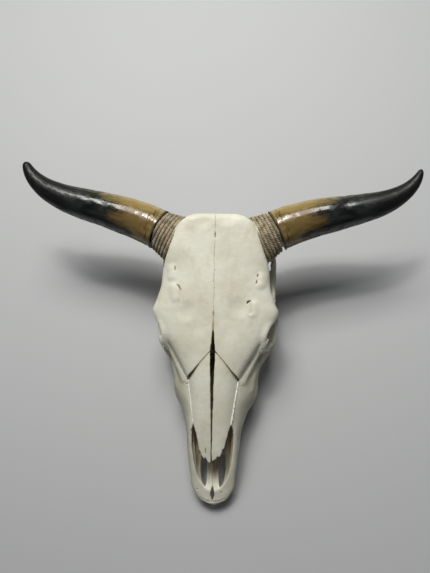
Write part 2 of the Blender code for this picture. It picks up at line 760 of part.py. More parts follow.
# ---- horns and rope ------------------------------------------------------------------------------
def horn_line(steps, side="left"):
    """Points of a horn's middle line, on the left side, and its directions, with the share of the way."""
    length, run, curl, lift = HORN_COURSE[side]
    point = HORN_BASE.copy()
    line = []
    for i in range(steps + 1):
        share = i / steps
        plan = math.radians(run + (HORN_LEAVE - run) * (1 - share) ** 3.5 + curl * share ** 5)
        climb = math.radians(HORN_RISE + lift * share ** 2)
        ahead = Vector((math.cos(plan) * math.cos(climb), math.sin(plan) * math.cos(climb), math.sin(climb)))
        line.append((share, point.copy(), ahead))
        point += ahead * length / steps
    return line


def ring_round(centre, ahead, wide, high, sides):
    side = ahead.cross(Vector((0, 0, 1))).normalized()
    up = side.cross(ahead)
    return [
        centre + side * wide * math.cos(math.tau * k / sides) + up * high * math.sin(math.tau * k / sides)
        for k in range(sides)
    ]


def horn(bm, side="left"):
    """A horn sheath, swept along its line. It thins slowly at first and then to a round tip."""
    rings = []
    line = horn_line(96, side)
    centre, ahead = line[0][1:]
    rings.append(ring_round(centre, ahead, HORN_RADIUS + 0.0005, HORN_RADIUS + 0.0005, 14))
    for i in (2, 5, 16, 30, 44, 57, 68, 77, 85, 91, 94):
        share, centre, ahead = line[i]
        radius = HORN_RADIUS * (1 - share ** 1.6) ** 0.72
        if i == 2:
            radius += 0.0012
        rings.append(ring_round(centre, ahead, radius, radius, 14))
    loft_rings(bm, rings)


def horn_bed(bm):
    """Room for the horn: the bony core ends flat where the sheath starts."""
    ahead = horn_line(96)[0][2]
    start = HORN_BASE - ahead * SUTURE
    loft_rings(bm, [ring_round(start + ahead * step, ahead, 0.07, 0.07, 12) for step in (0, 0.08)])


def rope_wrap(bm):
    """The wrap of rope round the horn core, as one ribbed body with a rib for each turn."""
    ahead = horn_line(96)[0][2]
    rings = []
    for turn in range(ROPE_TURNS):
        for part, swell in ((0.02, 0.0), (0.35, 1.0), (0.70, 1.0)):
            back = (turn + part) * ROPE * 0.98 + SUTURE
            wide = ROPE_RADIUS - ROPE * 0.24 * (1 - swell) + ROPE_FLARE[0] * back
            high = ROPE_RADIUS - ROPE * 0.24 * (1 - swell) + ROPE_FLARE[1] * back
            centre = HORN_BASE - ahead * back
            centre.z -= 0.06 * back
            rings.append(ring_round(centre, ahead, wide, high, 12))
    loft_rings(bm, rings)


def finish(obj, material):
    obj.data.materials.clear()
    obj.data.materials.append(material)
    obj.hide_render = False
    obj.display_type = "TEXTURED"


def main():
    clear_scene()
    model = new_collection("cow_skull")
    guides = new_collection("cutters")
    bone = new_material("bone", BONE, 0.55)
    keratin = new_material("horn", HORN, 0.15)
    jute = new_material("jute", JUTE, 0.9)

    skull = joined_skull(guides)
    swollen = copy_of(skull, "skull_swollen")
    swell = swollen.modifiers.new("swell", "DISPLACE")
    swell.strength = SUTURE
    swell.mid_level = 0.0
    bake(swollen)

    bones = part_skull(skull, model, guides)
    teeth = object_from(one_side(cheek_teeth), "teeth", guides)
    for obj in bones:
        if obj.name.startswith("maxilla"):
            mine = teeth if obj.name.endswith("left") else mirrored(teeth, "teeth_right")
            boolean(obj, mine, "UNION")
            keep_largest_body(obj)
    for obj in bones:
        finish(obj, bone)

    left_nasal = nasal_bone(model, bone)
    mirrored(left_nasal, "nasal_right")

    finish(object_from(one_side(horn), "horn_left", model), keratin)
    other_horn = object_from(one_side(lambda bm: horn(bm, "right")), "horn_right", model)
    other_horn.data.transform(Matrix.Diagonal((-1, 1, 1, 1)))
    other_horn.data.flip_normals()
    finish(other_horn, keratin)

    left_rope = object_from(one_side(rope_wrap), "rope_left", model)
    for wrap in (left_rope, mirrored(left_rope, "rope_right")):
        boolean(wrap, swollen, "DIFFERENCE")
        keep_largest_body(wrap)
        finish(wrap, jute)

    for obj in guides.objects:
        obj.hide_render = True
        obj.display_type = "WIRE"


main()
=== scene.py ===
"""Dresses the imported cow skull: weathered bones, worn teeth, polished horns and rope, on a pale floor.

The fused bones are one distance field: a number at each point of a lattice, below zero inside the bone.
Superellipse halls, balls and limbs are joined and cut in it with soft fillets, and it is then parted along
the sutures, one closed surface for each bone. The other pieces are surfaces of two parameters. All of it is
worked out with numpy in the frame's own place and size: metres, +X the animal's left, +Y from nose to poll.
"""

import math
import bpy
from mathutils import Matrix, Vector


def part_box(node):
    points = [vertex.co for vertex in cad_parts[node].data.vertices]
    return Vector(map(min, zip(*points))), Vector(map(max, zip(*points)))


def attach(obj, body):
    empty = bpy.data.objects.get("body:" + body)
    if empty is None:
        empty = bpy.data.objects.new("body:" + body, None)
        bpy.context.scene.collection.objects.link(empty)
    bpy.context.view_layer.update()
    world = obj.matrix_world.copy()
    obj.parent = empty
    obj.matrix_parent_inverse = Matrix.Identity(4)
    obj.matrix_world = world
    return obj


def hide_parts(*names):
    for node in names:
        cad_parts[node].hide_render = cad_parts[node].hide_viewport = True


bl_info = {
    "name": "Cow skull with horns and rope",
    "version": (1, 0, 0),
    "blender": (4, 5, 0),
    "location": "View3D > Sidebar > Cow skull",
    "description": "Models the bones, teeth, horns and rope of a cow skull round its frame",
    "category": "Add Mesh",
}

import bpy
import numpy as np
from bpy.props import FloatProperty, FloatVectorProperty, IntProperty, PointerProperty
from mathutils import Matrix, Vector

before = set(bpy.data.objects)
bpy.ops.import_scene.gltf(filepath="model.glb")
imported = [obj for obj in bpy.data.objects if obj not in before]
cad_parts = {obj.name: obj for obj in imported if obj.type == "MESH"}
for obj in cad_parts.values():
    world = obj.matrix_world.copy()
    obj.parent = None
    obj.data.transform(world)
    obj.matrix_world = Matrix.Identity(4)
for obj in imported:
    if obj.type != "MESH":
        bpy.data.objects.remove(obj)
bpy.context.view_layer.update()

TAU = math.tau
BODY = "root"
SIDES = ("left", "right")

# ---- sizes that the frame's solids share ----
POLL_HEIGHT = 0.2
POLL_Y = 0.2
FOREHEAD_SLOPE = 0.2217  # fall of the forehead towards the nose, for each metre
NASION_Y = -0.026  # where the nasal bones start
PALATE_Z = 0.037
TOOTH_ROW = (-0.14, -0.006)
TOOTH_WIDTH = 0.021

HORN_BASE = np.array((0.105, 0.1865, 0.156))
HORN_RADIUS = 0.036
HORN_LEAVE, HORN_RISE = 26.0, 4.0  # degrees at the base: towards the poll, and above the floor
# length, heading of the middle stretch in degrees, power of the turn to it, extra heading and extra
# rise at the tip in degrees, and power of the taper
HORN_COURSE = {
    "left": (0.2685, 5.7, 3.6, 76.3, 16.0, 0.74),
    "right": (0.28, 6.3, 2.4, 77.1, 22.0, 0.6),
}

ROPE = 0.0062
ROPE_TURNS = 7.85
ROPE_START = 0.0026  # from the horn to the first turn's middle
ROPE_SPACING = 0.98  # from turn to turn, as a share of the rope's thickness
ROPE_ANGLE = 0.6  # where on the core it starts, in radians
ROPE_DIVE = (0.004, 0.12)  # how far its ends go into the core, and over how much of a turn
ROPE_RADIUS = 0.0352
ROPE_FLARE = (0.28, 0.03)  # growth of the wrap towards the skull, across and upwards
ROPE_SINK = 0.12  # fall of the wrap's middle towards the skull
ROPE_TUCK = 0.003  # how far the last turns draw in, to go under the edge of the forehead
TUCK_TURNS = (5.85, 6.1)  # where along the wrap they do so


def forehead(y):
    """Height of the forehead's middle line, a straight fall from the poll to the nose."""
    return POLL_HEIGHT - FOREHEAD_SLOPE * (POLL_Y - y)


# ---- curves and noise ----
def filled(rows, at):
    """The columns of the rows, read at many places along the first one, on a smooth curve. Its slope at
    a row is that of the line between the rows before and after it, however far off they are."""
    rows = np.array(sorted(map(tuple, rows)), np.float32)
    at = np.asarray(at, np.float32)
    last = len(rows) - 1
    k = np.clip(np.searchsorted(rows[:, 0], at, side="right") - 1, 0, last - 1)
    before, start = rows[np.maximum(k - 1, 0)], rows[k]
    end, after = rows[k + 1], rows[np.minimum(k + 2, last)]
    length = (end - start)[..., :1]
    leave = (end - before) / (end - before)[..., :1] * length
    arrive = (after - start) / (after - start)[..., :1] * length
    t = np.clip((at - start[..., 0]) / length[..., 0], 0, 1)[..., None]
    rise = t * t * (3 - 2 * t)
    curve = start + (end - start) * rise + t * (1 - t) * ((1 - t) * leave - t * arrive)
    return [curve[..., i] for i in range(1, rows.shape[1])]


def ease(value, low, high):
    """0 below low, 1 above high, and a smooth step 3t^2 - 2t^3 between them."""
    t = np.clip((value - low) / (high - low), 0, 1)
    return t * t * (3 - 2 * t)


def unit(vectors):
    """The same directions with a length of 1."""
    return vectors / np.linalg.norm(vectors, axis=-1, keepdims=True)


def square_to(ahead, up=(0, 0, 1)):
    """Unit vectors sideways and upwards, square to the directions ahead, by cross products."""
    side = unit(np.cross(ahead, up))
    return side, np.cross(side, ahead)


def weights(places, wavelength):
    """For each place, how much each lattice value counts: cubic B-spline weights on knots one
    wavelength apart. Returns a matrix of places by knots."""
    first = places.min()
    t = (places - first) / wavelength
    k = np.floor(t).astype(int)
    f = t - k
    spline = ((1 - f) ** 3 / 6, (3 * f ** 3 - 6 * f ** 2 + 4) / 6,
              (-3 * f ** 3 + 3 * f ** 2 + 3 * f + 1) / 6, f ** 3 / 6)
    matrix = np.zeros((len(places), k.max() + 4), np.float32)
    for shift, weight in enumerate(spline):
        matrix[np.arange(len(places)), k + shift] = weight
    return matrix


def noise_block(axes, wavelength, seed):
    """Smooth noise of about -1 to 1 over a block: random knots drawn out by B-splines on each axis."""
    wx, wy, wz = (weights(axis, wavelength) for axis in axes)
    knots = np.random.default_rng(seed).uniform(-1, 1, (wx.shape[1], wy.shape[1], wz.shape[1]))
    block = np.tensordot(wx, knots.astype(np.float32), (1, 0))
    block = np.tensordot(block, wy, (1, 1))
    block = np.tensordot(block, wz, (1, 1))
    return block * 2.2


def noise_sheet(u, v, cells, seed):
    """The same noise on a grid of u by v, each from 0 to 1, with cells knots a side. It closes on
    itself along u."""
    across, along = cells
    knots = np.random.default_rng(seed).uniform(-1, 1, (across, along + 4))
    knots = np.vstack([knots, knots[:4]])
    wu = weights(u, 1 / across)
    wv = weights(v, 1 / along)
    return (wu @ knots[:wu.shape[1], :wv.shape[1]] @ wv.T) * 2.2


# ---- solids as distances ----
class Solid:
    """The box that holds a solid, and distance(x, y, z): how far outside it a point lies, nearly."""

    def __init__(self, low, high, distance):
        self.low = low
        self.high = high
        self.distance = distance


def hall(rows):
    """A body across the mid-plane. Each row is (y, half width, height of the widest level, top, bottom,
    squareness above, squareness below). Its section is the superellipse |x/half|^n + |z/reach|^n = 1
    round the level, and its distance is the section's value less 1, over the steepness of that value."""
    rows = np.array(sorted(rows))

    def distance(x, y, z):
        half, level, top, bottom, above, below = filled(rows, y)
        rise = z - level
        upper = rise >= 0
        reach = np.where(upper, top - level, level - bottom)
        n = np.where(upper, above, below)
        u = np.abs(x) / half
        v = np.abs(rise) / reach
        value = np.maximum((u ** n + v ** n) ** (1 / n), 0.05)
        steep = np.hypot((u / value) ** (n - 1) / half, (v / value) ** (n - 1) / reach)
        return np.maximum((value - 1) / steep, np.maximum(rows[0, 0] - y, y - rows[-1, 0]))

    wide = rows[:, 1].max()
    low = (-wide, rows[0, 0], rows[:, 4].min())
    return Solid(low, (wide, rows[-1, 0], rows[:, 3].max()), distance)


def round_gap(parts, radii):
    """Distance to an ellipsoid from the parts of an offset along its axes: a(a - 1)/b, with a the length
    of the parts over the radii, and b their length over the radii squared."""
    a = np.sqrt(sum((part / radius) ** 2 for part, radius in zip(parts, radii)))
    b = np.sqrt(sum((part / radius ** 2) ** 2 for part, radius in zip(parts, radii)))
    return a * (a - 1) / np.maximum(b, 1e-9)


def parts_along(directions, centre, x, y, z):
    """The parts along each direction of the offset from a centre to the points."""
    offset = (x - centre[0], y - centre[1], z - centre[2])
    return [sum(part * share for part, share in zip(offset, way)) for way in directions]


def ball(centre, radii, turn=(0, 0, 0)):
    """An ellipsoid, turned by degrees about X, then Y, then Z."""
    a, b, c = (math.radians(degrees) for degrees in turn)
    about_x = np.array([(1, 0, 0), (0, math.cos(a), -math.sin(a)), (0, math.sin(a), math.cos(a))])
    about_y = np.array([(math.cos(b), 0, math.sin(b)), (0, 1, 0), (-math.sin(b), 0, math.cos(b))])
    about_z = np.array([(math.cos(c), -math.sin(c), 0), (math.sin(c), math.cos(c), 0), (0, 0, 1)])
    spin = about_z @ about_y @ about_x

    def distance(x, y, z):
        return round_gap(parts_along(spin.T, centre, x, y, z), radii)

    reach = max(radii)
    return Solid(np.array(centre) - reach, np.array(centre) + reach, distance)


def limb(stations, up=(0, 0, 1), steps=3):
    """A tapering limb with rounded ends, as the nearest of short elliptical spans along a smooth curve.
    Each station is (x, y, z, radius sideways, radius upwards)."""
    rows = [(i, *station) for i, station in enumerate(stations)]
    at = np.linspace(0, len(rows) - 1, steps * (len(rows) - 1) + 1)
    table = np.stack(filled(rows, at), -1).astype(float)
    points, radii = table[:, :3], table[:, 3:]

    def distance(x, y, z):
        best = np.float32(1.0)
        for a, b, ra, rb in zip(points, points[1:], radii, radii[1:]):
            length = np.linalg.norm(b - a)
            ahead = (b - a) / length
            along, across, lift = parts_along((ahead, *square_to(ahead, up)), a, x, y, z)
            share = np.clip(along / length, 0, 1)
            wide = ra[0] + (rb[0] - ra[0]) * share
            high = ra[1] + (rb[1] - ra[1]) * share
            parts = (across, lift, along - share * length)
            best = np.minimum(best, round_gap(parts, (wide, high, np.minimum(wide, high))))
        return best

    reach = radii.max()
    return Solid(points.min(0) - reach, points.max(0) + reach, distance)


def outline_gap(a, b, corners):
    """Distance in a plane to an outline: to the nearest of its sides, below zero inside, where the
    number of sides that a ray crosses is odd."""
    nearest = np.full(np.broadcast(a, b).shape, 1e3, np.float32)
    inside = np.zeros(nearest.shape, bool)
    for (a0, b0), (a1, b1) in zip(corners, corners[1:] + corners[:1]):
        da, db = a1 - a0, b1 - b0
        t = np.clip(((a - a0) * da + (b - b0) * db) / (da * da + db * db), 0, 1)
        nearest = np.minimum(nearest, np.hypot(a - a0 - t * da, b - b0 - t * db))
        if db:
            inside ^= ((b0 > b) != (b1 > b)) & (a < a0 + da * (b - b0) / db)
    return np.where(inside, -nearest, nearest)


def soft_join(a, b, soft):
    """The smaller of two distances, less soft*h^2/4 where they are within soft of each other."""
    h = np.maximum(soft - np.abs(a - b), 0) / soft
    return np.minimum(a, b) - soft / 4 * h * h


def window_round(axes, low, high, room):
    """The part of the lattice that holds a box with some room round it, as a slice of each axis."""
    ends = zip(axes, low, high)
    return tuple(slice(*np.searchsorted(axis, (start - room, end + room))) for axis, start, end in ends)


PLACE_ROOM = 0.004  # how far past its fillet a solid's distance is worked out


def place(field, axes, solid, soft, cut=False):
    """Joins a solid to the field, or cuts it out, with a fillet of about soft."""
    window = window_round(axes, solid.low, solid.high, soft + PLACE_ROOM)
    x, y, z = np.ix_(*(axis[span] for axis, span in zip(axes, window)))
    gap = solid.distance(x, y, z).astype(np.float32)
    if cut:
        field[window] = -soft_join(-field[window], gap, soft)
    else:
        field[window] = soft_join(field[window], gap, soft)


# ---- surfaces ----
def cut_along(axis, start, stop):
    """The index that cuts a block along one axis."""
    index = [slice(None)] * 3
    index[axis] = slice(start, stop)
    return tuple(index)


def surface_net(field, low, step):
    """Points and quads of the surface where the field is zero. Each lattice cell that it passes gets one
    point, at the mean of the crossings on the cell's edges, and each crossed edge gets one quad, round
    the four cells that share it, turned so that it faces out of the negative side."""
    field = np.pad(field, 1, constant_values=step)
    inside = field < 0
    strides = np.array((field.shape[1] * field.shape[2], field.shape[2], 1))
    cells, crossings, faces = [], [], []
    for axis in range(3):
        back, ahead = cut_along(axis, None, -1), cut_along(axis, 1, None)
        changed = inside[ahead] != inside[back]
        place_of = np.argwhere(changed)
        first, last = field[back][changed], field[ahead][changed]
        point = place_of.astype(np.float64)
        point[:, axis] += first / (first - last)
        u, v = strides[(axis + 1) % 3], strides[(axis + 2) % 3]
        corner = place_of @ strides
        around = np.stack([corner, corner - u, corner - u - v, corner - v], 1)
        around[first > 0] = around[first > 0][:, ::-1]
        faces.append(around)
        cells.append(around.ravel())
        crossings.append(np.repeat(point, 4, axis=0))
    cells, crossings = np.concatenate(cells), np.concatenate(crossings)
    known, index = np.unique(cells, return_inverse=True)
    count = np.bincount(index)
    points = np.stack([np.bincount(index, crossings[:, i]) / count for i in range(3)], 1)
    faces = np.searchsorted(known, np.concatenate(faces))
    return low + (points - 1) * step, faces


def largest_body(points, faces):
    """Keeps the biggest of the separate bodies: each point takes the smallest label that its faces
    reach, until none changes."""
    labels = np.arange(len(points))
    while True:
        lowest = labels[faces].min(1)
        fresh = labels.copy()
        np.minimum.at(fresh, faces.ravel(), np.repeat(lowest, faces.shape[1]))
        fresh = fresh[fresh]
        if (fresh == labels).all():
            break
        labels = fresh
    names, sizes = np.unique(labels, return_counts=True)
    kept = labels == names[sizes.argmax()]
    renumber = np.cumsum(kept) - 1
    return points[kept], renumber[faces[kept[faces[:, 0]]]]


def read_block(block, low, step, points):
    """The block's value at each point, mixed from the eight lattice values round it."""
    at = (points - low) / step
    at = np.clip(at, 0, np.array(block.shape) - 1.001)
    k = at.astype(int)
    f = at - k
    total = np.zeros(len(points))
    for corner in np.ndindex(2, 2, 2):
        share = np.abs(1 - np.array(corner) - f).prod(1)
        total += share * block[tuple((k + corner).T)]
    return total


def slopes(block, low, step, points):
    """How fast the block's value rises along each axis at the points: differences over one cell."""
    return np.stack([
        read_block(block, low, step, points + shift) - read_block(block, low, step, points - shift)
        for shift in np.eye(3) * step / 2
    ], 1) / step


def to_crease(points, first, second, low, step):
    """Moves the points that cut off the crease between two surfaces out to it: a point goes by
    -G^T (G G^T)^-1 (a, b), where a and b are the blocks' values there and G has their slopes as rows."""
    def gaps(at):
        return read_block(first, low, step, at), read_block(second, low, step, at)

    a, b = gaps(points)
    near = np.flatnonzero((np.maximum(a, b) < -0.04 * step) & (np.minimum(a, b) > -0.9 * step))
    at = points[near]
    for _ in range(4):
        a, b = gaps(at)
        slope_a, slope_b = slopes(first, low, step, at), slopes(second, low, step, at)
        aa, ab, bb = ((p * q).sum(1) for p, q in ((slope_a, slope_a), (slope_a, slope_b), (slope_b, slope_b)))
        spread = np.maximum(aa * bb - ab * ab, 0.05)
        share_a, share_b = (bb * a - ab * b) / spread, (aa * b - ab * a) / spread
        at = at - share_a[:, None] * slope_a - share_b[:, None] * slope_b
    a, b = gaps(at)
    reached = np.maximum(np.abs(a), np.abs(b)) < 0.06 * step
    reached &= np.linalg.norm(at - points[near], axis=1) < 1.0 * step
    reached &= aa * bb - ab * ab > 0.35 * aa * bb
    points[near[reached]] = at[reached]
    return points


def mesh_piece(name, points, faces, material, smooth=True, marks=None):
    """A mesh object from arrays, with named values for its points."""
    mesh = bpy.data.meshes.new(name)
    mesh.vertices.add(len(points))
    mesh.vertices.foreach_set("co", np.asarray(points, np.float32).ravel())
    sides = faces.shape[1]
    mesh.loops.add(faces.size)
    mesh.loops.foreach_set("vertex_index", faces.astype(np.int32).ravel())
    mesh.polygons.add(len(faces))
    mesh.polygons.foreach_set("loop_start", np.arange(0, faces.size, sides, dtype=np.int32))
    mesh.update(calc_edges=True)
    mesh.polygons.foreach_set("use_smooth", np.full(len(faces), smooth))
    for mark, values in (marks or {}).items():
        attribute = mesh.attributes.new(mark, "FLOAT", "POINT")
        attribute.data.foreach_set("value", np.asarray(values, np.float32))
    mesh.materials.append(material)
    obj = bpy.data.objects.new(name, mesh)
    bpy.context.scene.collection.objects.link(obj)
    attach(obj, BODY)
    return obj


def closed_tube(rings):
    """Quads between the rings of rings[i, k], and a fan of quads to a pole point at both ends.
    Returns the points and the faces of a closed body."""
    rows, sides = rings.shape[:2]
    points = np.concatenate([rings.reshape(-1, 3), rings[[0, -1]].mean(1)])
    i, k = np.meshgrid(np.arange(rows - 1), np.arange(sides), indexing="ij")
    after = (k + 1) % sides
    wall = np.stack([i * sides + k, i * sides + after, (i + 1) * sides + after, (i + 1) * sides + k], -1)
    k = np.arange(0, sides, 2)
    first, last = rows * sides, rows * sides + 1
    start = np.stack([np.full(len(k), first), (k + 2) % sides, k + 1, k], -1)
    top = (rows - 1) * sides
    end = np.stack([np.full(len(k), last), top + k, top + k + 1, top + (k + 2) % sides], -1)
    return points, np.concatenate([wall.reshape(-1, 4), start, end])


def frames_along(path, up=(0, 0, 1)):
    """Unit vectors ahead, sideways and upwards along a path: differences of its points, and their cross
    products with up."""
    ahead = unit(np.gradient(path, axis=0))
    return ahead, *square_to(ahead, up)


def rings_round(path, side, up, wide, high, angle):
    """A ring of points round each point of a path: side * wide * cos(angle) + up * high * sin(angle)."""
    across = side[:, None] * (wide * np.cos(angle))[..., None]
    return path[:, None] + across + up[:, None] * (high * np.sin(angle))[..., None]


def joined(bodies):
    """Several bodies, each given as points, faces and point values, as one."""
    starts = np.cumsum([0] + [len(body[0]) for body in bodies])
    moved = [(points, faces + start, *values) for (points, faces, *values), start in zip(bodies, starts)]
    return [np.concatenate(parts) for parts in zip(*moved)]


def mirror_side(points, faces, side):
    """The same piece on the animal's right: x turned round, and the faces with it."""
    if side == "left":
        return points, faces
    return points * (-1, 1, 1), faces[:, ::-1]


# ---- the skull's solids ----
FRONTAL_SLAB = [
    # y, half width, widest level, top, bottom, squareness above and below
    (-0.078, 0.042, 0.119, 0.1345, 0.1, 2.6, 2.0),
    (-0.05, 0.056, 0.123, 0.143, 0.1, 2.8, 2.0),
    (-0.014, 0.078, 0.13, forehead(-0.014), 0.108, 3.0, 2.0),
    (0.012, 0.094, 0.135, forehead(0.012), 0.116, 3.0, 2.0),
    (0.04, 0.11, 0.138, forehead(0.04), 0.12, 2.8, 2.0),
    (0.06, 0.1035, 0.142, forehead(0.06), 0.122, 2.8, 2.0),
    (0.085, 0.0955, 0.146, forehead(0.085), 0.122, 3.0, 2.0),
    (0.115, 0.093, 0.151, forehead(0.115), 0.124, 3.0, 2.0),
    (0.145, 0.0835, 0.16, forehead(0.145), 0.126, 4.0, 2.2),
    (0.172, 0.074, 0.166, forehead(0.172), 0.128, 4.4, 2.2),
    (0.19, 0.0645, 0.172, forehead(0.19), 0.14, 4.2, 2.2),
    (0.1965, 0.058, 0.176, 0.1968, 0.15, 3.6, 2.2),
    (0.2015, 0.048, 0.18, 0.1925, 0.162, 2.8, 2.2),
]
BRAIN_CASE = [
    (-0.02, 0.04, 0.1, 0.14, 0.064, 2.2, 2.2),
    (0.02, 0.036, 0.102, 0.15, 0.062, 2.2, 2.2),
    (0.06, 0.044, 0.104, 0.16, 0.058, 2.2, 2.2),
    (0.105, 0.06, 0.106, 0.168, 0.054, 2.3, 2.4),
    (0.145, 0.076, 0.11, 0.174, 0.053, 2.4, 2.6),
    (0.172, 0.09, 0.114, 0.18, 0.055, 2.3, 2.4),
    (0.186, 0.078, 0.118, 0.18, 0.06, 2.2, 2.2),
    (0.193, 0.05, 0.122, 0.176, 0.075, 2.0, 2.0),
]
FACE = [
    (0.006, 0.06, 0.07, 0.13, 0.04, 2.2, 2.6),
    (-0.012, 0.074, 0.084, 0.142, 0.027, 2.1, 2.8),
    (-0.04, 0.0775, 0.078, 0.141, 0.02, 2.0, 3.0),
    (-0.07, 0.0765, 0.069, 0.134, 0.018, 1.9, 3.2),
    (-0.097, 0.0745, 0.063, 0.126, 0.018, 1.85, 3.2),
    (-0.13, 0.0595, 0.06, 0.117, 0.019, 2.0, 3.0),
    (-0.162, 0.0505, 0.059, 0.104, 0.025, 2.4, 2.6),
    (-0.198, 0.0468, 0.056, 0.082, 0.029, 2.6, 2.4),
    (-0.225, 0.0435, 0.05, 0.066, 0.029, 2.6, 2.4),
    (-0.246, 0.0408, 0.043, 0.054, 0.028, 2.6, 2.4),
    (-0.264, 0.039, 0.035, 0.0445, 0.025, 2.6, 2.4),
    (-0.28, 0.031, 0.03, 0.0375, 0.021, 2.4, 2.4),
    (-0.288, 0.024, 0.028, 0.0345, 0.02, 2.3, 2.3),
    (-0.294, 0.013, 0.0265, 0.0315, 0.02, 2.2, 2.2),
    (-0.2965, 0.005, 0.026, 0.029, 0.022, 2.0, 2.0),
]
NOSE_PASSAGE = [
    (-0.273, 0.006, 0.048, 0.095, 0.042, 2.6, 2.4),
    (-0.266, 0.014, 0.05, 0.1, 0.0395, 2.6, 2.8),
    (-0.25, 0.025, 0.055, 0.115, 0.039, 2.6, 3.0),
    (-0.225, 0.0322, 0.062, 0.125, 0.0415, 3.0, 3.0),
    (-0.19, 0.0365, 0.075, 0.135, 0.043, 3.4, 3.0),
    (-0.162, 0.0362, 0.085, 0.14, 0.044, 3.4, 3.0),
    (-0.154, 0.035, 0.08, 0.125, 0.044, 2.8, 3.0),
    (-0.146, 0.035, 0.074, 0.113, 0.044, 2.2, 3.0),
    (-0.11, 0.041, 0.08, 0.127, 0.045, 2.2, 3.0),
    (-0.08, 0.043, 0.086, 0.137, 0.046, 2.2, 3.0),
    (-0.062, 0.034, 0.092, 0.14, 0.05, 2.4, 2.6),
    (-0.045, 0.019, 0.096, 0.143, 0.058, 2.4, 2.6),
    (-0.03, 0.005, 0.105, 0.146, 0.07, 2.4, 2.4),
]
MOUTH_HOLLOW = [
    (-0.256, 0.018, 0.015, 0.027, -0.01, 2.4, 4.0),
    (-0.22, 0.027, 0.018, 0.0325, -0.01, 2.4, 4.0),
    (-0.16, 0.034, 0.02, 0.036, -0.01, 2.4, 4.0),
    (-0.13, 0.035, 0.02, PALATE_Z, -0.01, 2.8, 4.0),
    (-0.06, 0.038, 0.02, PALATE_Z, -0.01, 3.0, 4.0),
    (-0.01, 0.0385, 0.02, PALATE_Z, -0.01, 3.0, 4.0),
    (0.012, 0.033, 0.02, PALATE_Z, -0.01, 2.6, 4.0),
]


ORBIT_CENTRE = np.array((0.0955, 0.014, 0.113))
ORBIT_RADIUS = 0.0325
ORBIT_BACK = np.array((0.3, 0.954, 0.0))  # the rim's own axes, in a plane that faces a little forwards
ORBIT_UP = np.array((-0.19, 0.0, 0.982))


def orbit_rim(angle):
    """A point on the rim of the left eye socket: a circle in the plane of its two axes."""
    return ORBIT_CENTRE + ORBIT_RADIUS * (ORBIT_BACK * math.cos(angle) + ORBIT_UP * math.sin(angle))


